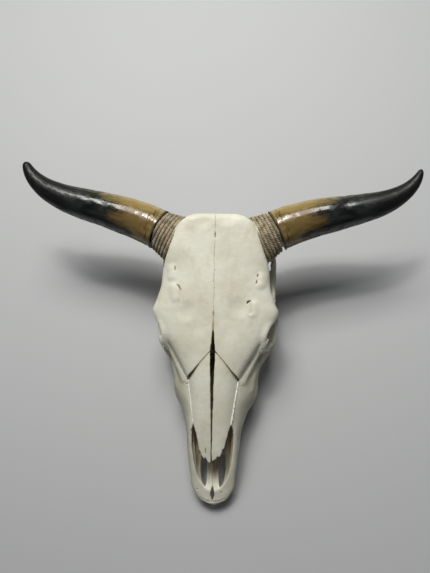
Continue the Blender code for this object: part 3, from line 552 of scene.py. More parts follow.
def side_lumps():
    """(solid, fillet) of what the left side adds to the halls."""
    rim = [(*orbit_rim(TAU * k / 16), 0.005, 0.0055) for k in range(17)]
    return [
        (limb(rim, up=(1, -0.3, 0.2), steps=2), 0.006),
        # bar behind the eye
        (limb([
            (0.1045, 0.047, 0.134, 0.008, 0.005),
            (0.105, 0.048, 0.112, 0.007, 0.0045),
            (0.104, 0.046, 0.088, 0.009, 0.005),
        ], up=(1, 0, 0)), 0.006),
        # facial crest, cheek bone and arch in one sweep
        (limb([
            (0.06, -0.112, 0.06, 0.0075, 0.009),
            (0.067, -0.095, 0.06, 0.008, 0.011),
            (0.07, -0.066, 0.067, 0.007, 0.011),
            (0.0755, -0.043, 0.074, 0.0075, 0.012),
            (0.0895, -0.019, 0.08, 0.0095, 0.012),
            (0.101, 0.0, 0.082, 0.008, 0.011),
            (0.1035, 0.03, 0.083, 0.0062, 0.01),
            (0.103, 0.07, 0.082, 0.0048, 0.0085),
            (0.102, 0.098, 0.081, 0.0055, 0.0075),
            (0.095, 0.122, 0.083, 0.008, 0.0075),
        ]), 0.007),
        # shoulder from the front corner of the eye to the nasal bone, and a second one below it
        (limb([
            (0.0885, -0.0075, 0.129, 0.004, 0.005),
            (0.0815, -0.017, 0.1235, 0.005, 0.006),
            (0.0725, -0.03, 0.116, 0.0065, 0.0075),
            (0.061, -0.05, 0.111, 0.0075, 0.007),
            (0.049, -0.072, 0.1085, 0.0065, 0.005),
        ]), 0.009),
        (limb([
            (0.091, -0.014, 0.105, 0.006, 0.008),
            (0.0775, -0.035, 0.095, 0.0065, 0.008),
            (0.069, -0.058, 0.09, 0.0065, 0.007),
            (0.064, -0.085, 0.085, 0.005, 0.005),
        ]), 0.009),
        # root of the arch over the jaw joint, and the crest that runs up from it to the horn
        (ball((0.078, 0.12, 0.08), (0.029, 0.015, 0.0105)), 0.006),
        (limb([
            (0.102, 0.112, 0.085, 0.005, 0.0055),
            (0.103, 0.136, 0.092, 0.005, 0.006),
            (0.098, 0.16, 0.106, 0.006, 0.007),
            (0.084, 0.175, 0.134, 0.006, 0.007),
            (0.072, 0.181, 0.152, 0.007, 0.008),
        ]), 0.006),
        # horn core
        (limb([
            (0.042, 0.165, 0.157, 0.04, 0.027),
            (0.07, 0.173, 0.155, 0.0345, 0.029),
            (0.09, 0.1795, 0.155, 0.03, 0.0285),
            (0.115, 0.1885, 0.1565, 0.0285, 0.0285),
        ]), 0.004),
        # joint knob at the back, and the process beside it, which stands on the floor
        (ball((0.0265, 0.188, 0.064), (0.0185, 0.019, 0.024), turn=(20, -18, 12)), 0.004),
        (limb([
            (0.061, 0.168, 0.092, 0.015, 0.012),
            (0.059, 0.169, 0.055, 0.01, 0.01),
            (0.054, 0.167, 0.025, 0.0065, 0.0085),
            (0.0505, 0.162, -0.008, 0.0055, 0.0065),
        ], up=(1, 0, 0)), 0.006),
        # ear: its blister, the spike in front of it and the bony passage
        (ball((0.041, 0.13, 0.056), (0.0125, 0.018, 0.023), turn=(12, 0, 0)), 0.003),
        (limb([
            (0.038, 0.116, 0.048, 0.004, 0.004),
            (0.037, 0.106, 0.034, 0.0025, 0.0025),
        ]), 0.003),
        (limb([
            (0.05, 0.138, 0.078, 0.01, 0.01),
            (0.083, 0.144, 0.092, 0.0085, 0.0085),
        ]), 0.004),
        # wing beside the inner nostril, ending in its small hook
        (limb([
            (0.03, -0.006, 0.058, 0.004, 0.02),
            (0.027, 0.028, 0.054, 0.0035, 0.02),
            (0.025, 0.06, 0.058, 0.0035, 0.015),
        ]), 0.004),
        (limb([
            (0.026, 0.044, 0.044, 0.0032, 0.006),
            (0.0225, 0.054, 0.028, 0.0028, 0.003),
        ]), 0.003),
        # tuber behind the last molar, and the knob under the skull base
        (ball((0.05, -0.004, 0.044), (0.016, 0.017, 0.017)), 0.006),
        (ball((0.0095, 0.122, 0.05), (0.0075, 0.011, 0.008)), 0.004),
    ]


def middle_lumps():
    """(solid, fillet) of the skull base and the knob at the back of the head."""
    return [
        (limb([
            (0, 0.186, 0.056, 0.02, 0.009),
            (0, 0.155, 0.054, 0.017, 0.0095),
            (0, 0.118, 0.057, 0.0135, 0.01),
            (0, 0.08, 0.063, 0.015, 0.012),
            (0, 0.04, 0.07, 0.02, 0.012),
            (0, 0.0, 0.076, 0.022, 0.012),
        ]), 0.006),
        (limb([
            (0, 0.19, 0.125, 0.005, 0.005),
            (0, 0.192, 0.145, 0.012, 0.008),
            (0, 0.192, 0.168, 0.02, 0.01),
        ], up=(1, 0, 0)), 0.006),
    ]


def middle_cuts():
    """(solid, fillet) of the passages across the mid-plane and the slot at the tip of the nose."""
    return [
        (hall(NOSE_PASSAGE), 0.003),
        (hall(MOUTH_HOLLOW), 0.003),
        (limb([
            (0, -0.02, 0.052, 0.017, 0.009),
            (0, 0.01, 0.05, 0.02, 0.011),
            (0, 0.05, 0.04, 0.019, 0.018),
            (0, 0.085, 0.03, 0.017, 0.018),
        ]), 0.003),
        (limb([(0, 0.23, 0.086, 0.018, 0.015), (0, 0.15, 0.086, 0.016, 0.014)]), 0.003),
        (limb([
            (0, -0.264, 0.033, 0.0008, 0.02),
            (0, -0.2705, 0.033, 0.003, 0.02),
            (0, -0.277, 0.033, 0.0037, 0.02),
            (0, -0.284, 0.033, 0.0022, 0.02),
            (0, -0.2895, 0.033, 0.0006, 0.02),
        ]), 0.001),
        # groove behind the lip's rim
        (limb([
            (-0.022, -0.2855, 0.0335, 0.001, 0.0012),
            (-0.012, -0.2905, 0.0332, 0.0011, 0.0013),
            (0.0, -0.2918, 0.033, 0.0011, 0.0013),
            (0.012, -0.2905, 0.0332, 0.0011, 0.0013),
            (0.022, -0.2855, 0.0335, 0.001, 0.0012),
        ]), 0.002),
    ]


def side_cuts():
    """(solid, fillet) of the left eye socket, the hollow behind it and the small openings."""
    return [
        (ball((0.09, 0.012, 0.113), (0.046, 0.029, 0.029), turn=(0, -10, -16)), 0.003),
        (ball((0.061, 0.03, 0.106), (0.026, 0.026, 0.023)), 0.003),
        # hollow behind the eye, above and inside the cheek arch
        (limb([
            (0.08, 0.066, 0.108, 0.017, 0.015),
            (0.088, 0.093, 0.109, 0.019, 0.016),
            (0.096, 0.118, 0.113, 0.018, 0.014),
            (0.102, 0.145, 0.126, 0.013, 0.012),
        ]), 0.003),
        (limb([
            (0.076, 0.056, 0.095, 0.017, 0.019),
            (0.076, 0.09, 0.09, 0.015, 0.013),
            (0.072, 0.07, 0.06, 0.018, 0.016),
        ]), 0.003),
        # palatine slot
        (limb([
            (0.0135, -0.264, 0.03, 0.0008, 0.02),
            (0.0155, -0.254, 0.03, 0.0042, 0.02),
            (0.017, -0.235, 0.034, 0.0062, 0.02),
            (0.017, -0.212, 0.036, 0.005, 0.02),
        ]), 0.002),
        # hole below the eye for the cheek nerve, and the ear passage
        (limb([
            (0.07, -0.138, 0.058, 0.0045, 0.0035),
            (0.056, -0.118, 0.064, 0.0045, 0.0035),
        ]), 0.002),
        (limb([
            (0.1, 0.147, 0.098, 0.0048, 0.0048),
            (0.07, 0.142, 0.087, 0.0045, 0.0045),
        ]), 0.002),
    ]


# ---- nasal bones ----
NASAL_EDGES = [
    # y, inner edge, outer edge
    (-0.0285, 0.0042, 0.005), (-0.05, 0.0038, 0.025), (-0.071, 0.0031, 0.0422),
    (-0.076, 0.003, 0.043), (-0.11, 0.0021, 0.0382), (-0.149, 0.0013, 0.0325),
    (-0.165, 0.0011, 0.0278), (-0.185, 0.0008, 0.0232), (-0.202, 0.0006, 0.0198),
    (-0.213, 0.0012, 0.015),
]
NASAL_HEIGHTS = [
    # y, height near the middle, height NASAL_OUT from it
    (-0.028, 0.149, 0.133), (-0.056, 0.1425, 0.1265), (-0.086, 0.1345, 0.118),
    (-0.118, 0.1245, 0.108), (-0.15, 0.1137, 0.0975), (-0.182, 0.102, 0.0865),
    (-0.213, 0.09, 0.075),
]
NASAL_OUT = 0.04  # where the second height is read
NASAL_THICKNESS = 0.0036
NASAL_VAULT = 2.6  # power of the fall to the side
NASAL_FALL = 0.3  # slope along the bones, towards the nose


def nasal_roof(x, y):
    """Height of the nasal bones' upper face, and how much longer its normal is than the upright part
    of it: the middle height less a fall that grows with the power NASAL_VAULT of the way out."""
    middle, edge = filled(NASAL_HEIGHTS, y)
    share = np.clip(np.abs(x) / NASAL_OUT, 0, 1.2)
    height = middle - (middle - edge) * share ** NASAL_VAULT
    slope = NASAL_VAULT * (middle - edge) / NASAL_OUT * share ** (NASAL_VAULT - 1)
    return height, np.sqrt(1 + slope ** 2 + NASAL_FALL ** 2)


def nasal_bed(x, y, z):
    """What is cut away for the nasal bones: all above their underside and between their outer edges."""
    outer = filled(NASAL_EDGES, y)[1]
    height, lean = nasal_roof(x, y)
    under = (height - NASAL_THICKNESS * lean - 0.0006 - z) / lean
    first, last = NASAL_EDGES[0][0] + 0.001, NASAL_EDGES[-1][0]
    return np.maximum(np.maximum(under, np.abs(x) - outer - 0.0004), np.maximum(y - first, last - y))


# ---- the skull's field ----
HALF_REACH = 0.122
ALONG_REACH = (-0.303, 0.216)
UP_REACH = (-0.004, 0.209)


def slab_top(x, y):
    """Height of the forehead at x: level + reach * (1 - |x/half|^n)^(1/n), from the slab's rows."""
    half, level, top, _, above, _ = filled(FRONTAL_SLAB, y)
    share = np.clip(np.abs(x) / half, 0, 0.999)
    return level + (top - level) * (1 - share ** above) ** (1 / above)


def on_forehead(x, y, rise=0.0):
    """A point that lies rise above the forehead."""
    return (x, y, float(slab_top(x, y)) + rise)


def half_skull(step):
    """The fused bones to the left of the mid-plane as distances on a lattice, and the lattice's axes.
    The right side is its mirror image."""
    axes = [
        (np.arange(round(HALF_REACH / step)) + 0.5) * step,
        np.arange(*ALONG_REACH, step),
        np.arange(*UP_REACH, step),
    ]
    field = np.full([len(axis) for axis in axes], 0.05, np.float32)
    for rows in (FRONTAL_SLAB, BRAIN_CASE, FACE):
        place(field, axes, hall(rows), 0.005)
    for solid, soft in side_lumps() + middle_lumps():
        place(field, axes, solid, soft)
    for solid, soft in middle_cuts() + side_cuts():
        place(field, axes, solid, soft, cut=True)
    for solid, soft in inner_ridges():
        place(field, axes, solid, soft)
    return field, axes


def inner_ridges():
    """(solid, fillet) of the left side's thin crests: two inside the nose wall, one on the nose floor, one
    on the rim of the eye socket and one along the edge of the poll."""
    return [
        (limb([
            (0.035, -0.15, 0.08, 0.0012, 0.002),
            (0.0345, -0.19, 0.066, 0.0014, 0.0024),
            (0.03, -0.235, 0.051, 0.001, 0.0014),
        ]), 0.002),
        (limb([
            (0.0385, -0.09, 0.082, 0.0014, 0.004),
            (0.036, -0.14, 0.07, 0.0016, 0.004),
            (0.0335, -0.185, 0.056, 0.001, 0.002),
        ]), 0.002),
        (limb([
            (0, -0.06, 0.052, 0.0018, 0.008),
            (0, -0.13, 0.046, 0.0016, 0.006),
            (0, -0.2, 0.043, 0.0012, 0.003),
        ]), 0.002),
        (limb([
            (0.077, -0.022, 0.1205, 0.0026, 0.0034),
            (0.0825, -0.015, 0.1275, 0.0032, 0.0036),
            (0.087, -0.0095, 0.132, 0.0038, 0.004),
            (0.0915, -0.0035, 0.132, 0.0036, 0.004),
        ]), 0.005),
        (limb([
            (0.0, 0.198, 0.192, 0.0045, 0.003),
            (0.03, 0.198, 0.1912, 0.0045, 0.003),
            (0.048, 0.1955, 0.1895, 0.004, 0.003),
        ]), 0.005),
    ]


def forehead_lumps():
    """(solid, fillet, cut) of the low ridges, shallow vessel grooves and dents that differ from side to
    side on the forehead."""
    def ridge(points, rise):
        stations = [(*on_forehead(x, y, rise - 0.0095), 0.0095, 0.0095) for x, y in points]
        return (limb(stations), 0.006, False)

    def furrow(points):
        stations = [(*on_forehead(x, y, 0.0036), 0.004, 0.004) for x, y in points]
        return (limb(stations), 0.002, True)

    def dent(x, y, deep):
        return (ball(on_forehead(x, y, 0.06 - deep), (0.06, 0.06, 0.06)), 0.002, True)

    return [
        ridge([(-0.0735, 0.112), (-0.0718, 0.1055), (-0.0715, 0.099)], 0.0007),
        ridge([(-0.0685, 0.079), (-0.067, 0.0715), (-0.065, 0.063)], 0.0006),
        ridge([(0.0768, 0.099), (0.0777, 0.0945), (0.077, 0.089)], 0.0007),
        ridge([(0.066, 0.053), (0.0665, 0.046), (0.0655, 0.04)], 0.0004),
        furrow([(-0.0575, 0.072), (-0.0568, 0.064), (-0.0553, 0.056), (-0.0548, 0.049)]),
        furrow([(0.06, 0.053), (0.061, 0.0447), (0.062, 0.038)]),
        dent(-0.02, 0.18, 0.0006),
        dent(0.017, 0.183, 0.0005),
        dent(-0.052, 0.026, 0.0005),
        dent(0.045, 0.034, 0.0005),
    ]


def slits():
    """(solid, fillet, cut) of the openings that differ from side to side: the vessel holes and slits of
    the forehead, and a nerve hole in each side of the front of the jaw."""
    def groove(points, wide, deep):
        if len(points) == 2:
            points = [points[0], tuple(np.mean(points, 0)), points[1]]
        shares = [0.45] + [1.0] * (len(points) - 2) + [0.45]
        stations = [
            (*on_forehead(x, y, -deep * 0.2 * share), wide * share, deep * share)
            for (x, y), share in zip(points, shares)
        ]
        return (limb(stations), 0.001, True)

    return [
        groove([(-0.0686, 0.113), (-0.0681, 0.106)], 0.0007, 0.0018),
        groove([(-0.0645, 0.0826), (-0.0612, 0.0803), (-0.0586, 0.076), (-0.0574, 0.0715)], 0.001, 0.0026),
        groove([(0.0566, 0.0536), (0.058, 0.0566), (0.0608, 0.0577)], 0.0014, 0.006),
        groove([(0.06, 0.0577), (0.0632, 0.058)], 0.0008, 0.0018),
        groove([(0.0738, 0.103), (0.073, 0.0976)], 0.0007, 0.003),
        groove([(0.0721, 0.092), (0.0712, 0.086)], 0.0007, 0.003),
        groove([(0.0, 0.17), (0.0, 0.16)], 0.0004, 0.0026),
        (ball((-0.0277, -0.2697, 0.0405), (0.0011, 0.0015, 0.0035)), 0.001, True),
        (ball((0.0168, -0.2729, 0.0405), (0.001, 0.0013, 0.0035)), 0.001, True),
    ]


FRONTAL_GAP = [
    # y, half width of the split between the frontal bones
    (-0.034, 0.0046), (-0.024, 0.004), (-0.019, 0.0036), (-0.013, 0.0026), (-0.005, 0.0019), (0.002, 0.0013),
    (0.006, 0.0008), (0.01, 0.001), (0.018, 0.0009), (0.026, 0.0006), (0.034, 0.0005), (0.04, 0.0002),
]
FISSURE = ((0.0045, -0.028), (0.0445, -0.0745))  # from the nasion to the nasal bone's outer corner
FISSURE_ROWS = [
    # share of the way, half width
    (0.0, 0.0006), (0.3, 0.0004), (0.5, 0.0005), (0.62, 0.0009), (0.75, 0.0017), (0.88, 0.0026),
    (0.96, 0.002), (1.0, 0.0008),
]


def split_floor(y):
    """How high the split's floor lies: just under the forehead at its upper end, and below the bone
    from there to the nose."""
    return forehead(y) - 0.0018 - 0.05 * (1 - ease(y, -0.002, 0.009))


def split_gap(x, y):
    """Distance in plan to the split between the frontal bones, whose half width follows FRONTAL_GAP."""
    half, = filled(FRONTAL_GAP, y)
    return np.maximum(np.abs(x) - half, np.maximum(y - FRONTAL_GAP[-1][0], FRONTAL_GAP[0][0] - y))


def fissure_gap(x, y):
    """Distance in plan to the two cracks above the nasal bones: to the line, less a half width that
    follows FISSURE_ROWS along it."""
    (x0, y0), (x1, y1) = FISSURE
    dx, dy = x1 - x0, y1 - y0
    share = np.clip(((np.abs(x) - x0) * dx + (y - y0) * dy) / (dx * dx + dy * dy), 0, 1)
    half, = filled(FISSURE_ROWS, share)
    return np.hypot(np.abs(x) - x0 - share * dx, y - y0 - share * dy) - half


UNEVEN = [(0.00055, 0.03, 11), (0.00022, 0.01, 12)]  # depth, wavelength and seed of the soft waves
ROUGH = (0.0042, 13)  # wavelength and seed of the fine roughness
ROUGH_DEPTH, RAGGED_DEPTH = 0.00011, 0.0006  # what it adds to the surface, and to the edges of cracks
CRACKED_SPAN = (-0.222, 0.05)  # the stretch along the skull that holds the nasal bed and the cracks
HORN_SIDE = 0.08  # how far out the bony cores are cut off
CONTACT_GAP = 0.0004  # from the bone to the floor and to the horn


def whole_skull(step):
    """Both sides with their own marks, openings with crisp edges, and an uneven surface. Returns the
    field, its axes and its first corner."""
    half, (x, y, z) = half_skull(step)
    axes = [np.concatenate([-x[::-1], x]), y, z]
    field = np.concatenate([half[::-1], half])
    for solid, soft, cut in forehead_lumps() + slits():
        place(field, axes, solid, soft, cut)
    for depth, wavelength, seed in UNEVEN:
        field += depth * noise_block(axes, wavelength, seed)
    rough = noise_block(axes, *ROUGH)
    field += ROUGH_DEPTH * rough

    x, y, z = np.ix_(*axes)
    ragged = RAGGED_DEPTH * rough
    span = slice(*np.searchsorted(axes[1], CRACKED_SPAN))
    y_part = y[:, span]
    for opening, floor in ((split_gap, split_floor(y_part)), (fissure_gap, 0.112)):
        gap = opening(x, y_part) + ragged[:, span]
        field[:, span] = np.maximum(field[:, span], -np.maximum(gap, floor - z))
    bed = nasal_bed(x, y_part, z)
    field[:, span] = np.maximum(field[:, span], -bed)

    for sign in (1, -1):
        ahead = horn_heading() * (sign, 1, 1)
        base = HORN_BASE * (sign, 1, 1)
        past, = parts_along([ahead], base, x, y, z)
        field = np.where(x * sign > HORN_SIDE, np.maximum(field, past + CONTACT_GAP), field)
    field = np.maximum(field, CONTACT_GAP - z)
    return field.astype(np.float32), axes, np.array([axis[0] for axis in axes])


SMALL_HOLLOW, WIDE_HOLLOW = 0.0045, 0.01  # half sides of the cubes that hollows are measured in


def box_blur(block, cells):
    """The mean over a cube of cells each way, one axis at a time, as a difference of running sums."""
    for axis in range(3):
        pad = [(0, 0)] * 3
        pad[axis] = (cells + 1, cells)
        total = np.cumsum(np.pad(block, pad, mode="edge"), axis=axis, dtype=np.float32)
        width = 2 * cells + 1
        block = (total[cut_along(axis, width, None)] - total[cut_along(axis, None, -width)]) / width
    return block


# ---- parting the field into bones ----
# Each outline is (y, z) in the side view or (x, y) in the top view. The bones come off in this order,
# so an outline may run on over a bone that has already gone.
OUTLINES = [
    # bone, view, low and high across the outline, corners
    ("premaxilla", "side", (0.0, 0.12),
     [(-0.33, -0.02), (-0.2724, -0.02), (-0.15, 0.104), (-0.15, 0.17), (-0.33, 0.17)]),
    ("frontal", "top", (0.0, 0.26),
     [(0.0, NASION_Y), (0.0425, -0.0725), (0.0465, -0.073), (0.059, -0.055), (0.068, -0.04),
      (0.0795, -0.0235), (0.084, -0.0185), (0.16, -0.015), (0.16, 0.26), (0.0, 0.26)]),
    ("lacrimal", "side", (0.02, 0.08),
     [(-0.082, 0.113), (-0.06, 0.1), (-0.036, 0.093), (-0.006, 0.098), (-0.006, 0.18),
      (-0.082, 0.18)]),
    ("zygomatic", "side", (0.064, 0.14),
     [(-0.058, 0.04), (0.15, 0.04), (0.104, 0.066), (0.064, 0.1), (0.062, 0.15),
      (-0.038, 0.15), (-0.038, 0.098), (-0.04, 0.094)]),
    ("palatine", "side", (0.0, 0.037),
     [(-0.046, 0.02), (0.034, 0.02), (0.034, 0.074), (-0.02, 0.074), (-0.046, 0.062)]),
    ("maxilla", "side", (0.0, 0.14),
     [(-0.32, -0.01), (0.022, -0.01), (0.022, 0.06), (-0.03, 0.066), (-0.028, 0.18),
      (-0.32, 0.18)]),
    ("occipital", "both", (-0.15, 0.15),
     [(0.1735, -0.02), (0.25, -0.02), (0.25, 0.25), (0.1735, 0.25)]),
    ("temporal", "side", (0.0, 0.14),
     [(0.06, 0.02), (0.25, 0.02), (0.25, 0.25), (0.078, 0.25), (0.078, 0.1), (0.06, 0.094)]),
    ("sphenoid", "rest", (0.0, 0.0), []),
]
BASILAR = (0.02, 0.104, 0.074)  # half width, front and roof of the occipital's foot
PROCESS = (0.042, 0.076, 0.15, 0.078)  # inner and outer side, front and roof of the process's block


def frontal_floor(y):
    """The seam between the forehead and the wall of the brain case, in the side view. It drops in
    front of the eye, so that there the forehead's outline in plan parts the bones."""
    return 0.118 + 0.1 * (y + 0.02) - 0.0065 * (1 - ease(y, -0.02, 0.005))


def bone_region(view, span, corners, side, x, y, z):
    """Distance to the block that a bone is taken from: its outline, and its span across it."""
    low, high = span
    if view == "rest":
        return np.full(np.broadcast(x, y, z).shape, -1.0, np.float32)
    if view == "both":
        half, front, roof = BASILAR
        foot = np.maximum(np.maximum(np.abs(x) - half, front - y), z - roof)
        inner, outer, front, roof = PROCESS
        across_process = np.maximum(inner - np.abs(x), np.abs(x) - outer)
        process = np.maximum(across_process, np.maximum(front - y, z - roof))
        upright = np.maximum(outline_gap(y, z, corners), np.abs(x) - high)
        return np.minimum(upright, np.minimum(foot, process))
    across = x if side == "left" else -x
    if view == "top":
        plan = outline_gap(across, y, corners)
        return np.maximum(plan, frontal_floor(y) - z)
    return np.maximum(outline_gap(y, z, corners), np.maximum(low - across, across - high))


def hollows(field, step):
    """How much bone a small and a wide cube round each lattice point hold, as shares of the cubes."""
    solid = np.clip(0.5 - field / step, 0, 1)
    cells = round(WIDE_HOLLOW / step)
    return box_blur(solid, max(2, round(SMALL_HOLLOW / step))), box_blur(box_blur(solid, cells), cells)


def bone_marks(points, near, wide, low, step):
    """Point values for the bone's colour: how far it lies in a small or a large hollow, how sharp an edge it
    is on, how deep inside the nose or a crack, how close to the stained cracks, and how much it faces
    sideways. The small hollows carry dirt and painted shade; the wide hollows, the cracks, the slits, the
    painted shadow under the nasal tips and the sideways faces carry painted shade; inside the nose the
    streaks are partly the bone's own colour and partly painted shade."""
    x, y, z = points.T
    lean = slopes(near, low, step, points)
    steep = 1 + lean[:, 2] / np.maximum(np.linalg.norm(lean, axis=1), 1e-9)
    near, wide = (read_block(block, low, step, points) for block in (near, wide))
    depth = filled(FACE, y)[2] - z
    wall = hall(NOSE_PASSAGE).distance(x, y, z)
    # Inside the nose, more so deeper down: partly the bone's own colour, partly painted shade.
    inside = (1 - ease(wall, 0.0016, 0.004)) * ease(depth, 0.004, 0.022)
    crack = np.minimum(split_gap(x, y), fissure_gap(x, y))
    top = ease(z, 0.122, 0.128)
    # Painted shade deep in the cracks and slits, and below, a painted shadow under the nasal tips.
    sunk_shade = top * ease(-crack, -0.0014, -0.0004) * ease(slab_top(x, y) - z, 0.0008, 0.0035)
    cuts = np.min([solid.distance(x, y, z) for solid, _, _ in slits()], 0)
    sunk_shade = np.maximum(sunk_shade, ease(-cuts, -0.0006, 0.0002))
    # Painted shadow under the tips of the nasal bones.
    tip_shadow = np.exp(-(((y + 0.2185) / 0.0085) ** 2)) * ease(-np.abs(x), -0.011, -0.006)
    sunk_shade = np.maximum(sunk_shade, 0.9 * tip_shadow * ease(depth, 0.01, 0.02))
    return {
        # Dirt and painted shade in small hollows and creases.
        "hollow": ease(near, 0.52, 0.8),
        # Painted shade in wide recesses.
        "shade": ease(wide, 0.45, 0.85),
        "edge": ease(-near, -0.44, -0.2),
        "inside": np.maximum(inside, sunk_shade),
        "stain": top * np.exp(-np.maximum(crack, 0) / 0.0008),
        # Painted shade on steep sides below the forehead.
        "side": ease(steep, 0.08, 0.6) * ease(-z, -0.128, -0.11),
    }


def bone_surface(field, seam, corner, step):
    """Points and faces of the one body where both distances are below zero, with a crisp crease between
    the two."""
    points, faces = surface_net(np.maximum(field, seam).astype(np.float32), corner, step)
    points, faces = largest_body(points, faces)
    return to_crease(points, field, seam, corner, step), faces


BOX_MARGIN = 0.008  # how far a bone may reach past its node's box


def make_bones(settings, material):
    """One closed surface for each fused bone: where the skull's field, the bone's own block and what
    the earlier blocks left are all below zero. A noise bends the blocks' faces, so sutures wander. It is
    taken off on the right, so that both sides of the middle suture bend alike."""
    step = settings.cell * 1.0
    field, axes, low = whole_skull(step)
    near, wide = hollows(field, step)
    wander = settings.wander * (noise_block(axes, 0.0055, 21) + 1.6 * noise_block(axes, 0.02, 22))
    taken = np.full(field.shape, -1.0, np.float32)
    gap = settings.suture / 2
    for bone, view, span, corners in OUTLINES:
        for side in (SIDES if view in ("side", "top") else ("",)):
            bend = -wander if side == "right" else wander
            name = f"{bone}_{side}" if side else bone
            spans = window_round(axes, *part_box(name), BOX_MARGIN)
            parts = [axis[cut] for axis, cut in zip(axes, spans)]
            region = bone_region(view, span, corners, side, *np.ix_(*parts)) + bend[spans]
            seam = np.maximum(region, taken[spans]) + gap
            taken[spans] = np.maximum(taken[spans], -region)
            corner = np.array([part[0] for part in parts])
            points, faces = bone_surface(field[spans], seam, corner, step)
            marks = bone_marks(points, near, wide, low, step)
            piece = mesh_piece(f"bone_{name}", points, faces, material, marks=marks)
            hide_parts(name)


NASAL_TIPS = {
    # x from the middle line, y of the ragged tip
    "left": [(0.0, -0.2125), (0.003, -0.2115), (0.006, -0.209), (0.009, -0.2065), (0.0105, -0.203),
             (0.0125, -0.2045), (0.0155, -0.203), (0.018, -0.196), (0.02, -0.19)],
    "right": [(0.0, -0.213), (0.003, -0.2145), (0.006, -0.213), (0.0085, -0.2095), (0.0098, -0.206),
              (0.0115, -0.2095), (0.014, -0.207), (0.017, -0.202), (0.02, -0.194)],
}
NASAL_CRACKS = {
    # place across, where the crack ends, half width
    "left": (0.015, -0.206, 0.0002),
    "right": (0.0098, -0.19, 0.0002),
}
NASAL_REACH = ((-0.0006, 0.0465), (-0.2185, -0.024), (0.08, 0.153))


def nasal_marks(points):
    """Point values of a nasal bone's colour: painted shade at its edges and on its underside, and stained by
    the cracks and the seam."""
    x, y, z = points.T
    inner, outer = filled(NASAL_EDGES, y)
    out = x / outer
    crack = np.exp(-np.maximum(fissure_gap(x, y), 0) / 0.0007)
    seam = np.exp(-np.clip(x - inner, 0, 0.02) / 0.0006)
    flat = np.zeros(len(points))
    return {
        "hollow": flat,
        # Painted shade, mostly towards the outer edge where the bone falls away, a little by the middle.
        "shade": 0.25 * ease(out, 0.6, 1.0) + 0.1 * ease(-out, -0.2, -0.02),
        "edge": flat,
        # Painted shade on the underside.
        "inside": ease(nasal_roof(x, y)[0] - z, 0.0022, 0.004),
        "stain": 0.8 * crack + 0.4 * seam,
        "side": flat,
    }


def make_nasal_bones(settings, material):
    """The two nasal bones: vaulted plates, each a finer field of its own. A plate is the space within
    half its thickness of a middle sheet, and its outline is cut ragged at the tip."""
    step = settings.fine_cell * 1.0
    axes = [np.arange(start, end, step) for start, end in NASAL_REACH]
    low = np.array([axis[0] for axis in axes])
    x, y, z = np.ix_(*axes)
    inner, outer = filled(NASAL_EDGES, y)
    for seed, side in enumerate(SIDES):
        height, lean = nasal_roof(x, y)
        rough = noise_block(axes, 0.004, 31 + seed)
        broad = noise_block(axes, 0.018, 33 + seed)
        thick = NASAL_THICKNESS - 0.0012 * ease(-y, 0.18, 0.213)
        plate = np.abs((z - height) / lean + thick / 2) - thick / 2
        tip = filled(NASAL_TIPS[side], x)[0] + 0.0005 * rough
        crack_x, crack_top, crack_half = NASAL_CRACKS[side]
        crack = np.maximum(np.abs(x - crack_x - 0.0008 * broad) - crack_half, y - crack_top)
        rim = np.maximum(inner - x + 0.0004 * rough, x - outer + 0.0003 * rough)
        rim = np.maximum(rim, np.maximum(y - NASAL_EDGES[0][0], tip - y))
        own = -soft_join(-plate, -np.maximum(rim, -crack), 0.0012)
        own = own + 0.00012 * rough + 0.0003 * broad
        points, faces = largest_body(*surface_net(own.astype(np.float32), low, step))
        marks = nasal_marks(points)
        points, faces = mirror_side(points, faces, side)
        piece = mesh_piece(f"nasal_bone_{side}", points, faces, material, marks=marks)
        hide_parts(f"nasal_{side}")


# ---- filler beads ----
FILLER_SPAN = (-0.074, -0.15)
FILLER_SHAPE = {"left": (1.3, 0.36), "right": (0.95, 0.24)}  # fullness, and share that swells


def make_filler(settings, material):
    """The white filler along the outer edges of the nasal bones: a tube carried along the seam, whose
    radius swells and shrinks with a noise, flattened upwards."""
    for seed, side in enumerate(SIDES):
        fuller, uneven = FILLER_SHAPE[side]
        y = np.linspace(*FILLER_SPAN, 240)
        outer = filled(NASAL_EDGES, y)[1]
        edge = nasal_roof(outer, y)[0]
        share = np.linspace(0, 1, len(y))
        lumps = noise_sheet(np.linspace(0, 1, 16, endpoint=False), share, (4, 42), 41 + seed)
        path = np.stack([outer + 0.0004, y, edge + 0.0001], 1)
        path[:, 0] += 0.00025 * lumps[3]
        _, flat, up = frames_along(path)
        angle = np.linspace(0, TAU, 16, endpoint=False)
        size = settings.filler_width / 2 * (1 - 0.9 * np.abs(2 * share - 1) ** 14)
        spread = fuller * size[:, None] * (1 + uneven * lumps.T)
        rings = rings_round(path, flat, up, spread, 0.75 * spread, angle)
        points, faces = mirror_side(*closed_tube(rings), side)
        piece = mesh_piece(f"seam_filler_{side}", points, faces, material)


# ---- cheek teeth ----
TEETH = [(0.0165, 1), (0.018, 1), (0.0185, 1), (0.0245, 2), (0.027, 2), (0.0285, 2)]
TOOTH_OUT = (0.0465, 0.05)  # from the middle line to the row, at its front and at its back
TOOTH_COLUMN = [
    # height, and share of the full width there, from the end inside the jaw down to the rim
    (0.044, 0.94), (0.03, 0.98), (0.024, 0.96), (0.02, 1.0), (0.014, 1.0), (0.008, 0.985),
    (0.004, 0.965), (0.0015, 0.93), (0.0004, 0.885),
]
FACE_RINGS = 16  # rings over the chewing face


def signed_power(value, power):
    return np.sign(value) * np.abs(value) ** power


def tooth_ring(angle, length, lobes):
    """Outline of a tooth as offsets along and across the row: a rounded box, with a waist between two
    lobes and three upright ribs on its outer side."""
    along = length / 2 * signed_power(np.cos(angle), 0.75)
    out = TOOTH_WIDTH / 2 * signed_power(np.sin(angle), 0.75)
    if lobes == 2:
        out = out * (1 - 0.24 * np.exp(-(along / 0.0035) ** 2))
    ribs = 0.0007 * np.cos(along / length * TAU * (1.5 * lobes)) * (np.sin(angle) > 0)
    return along, out + ribs * np.sin(angle)


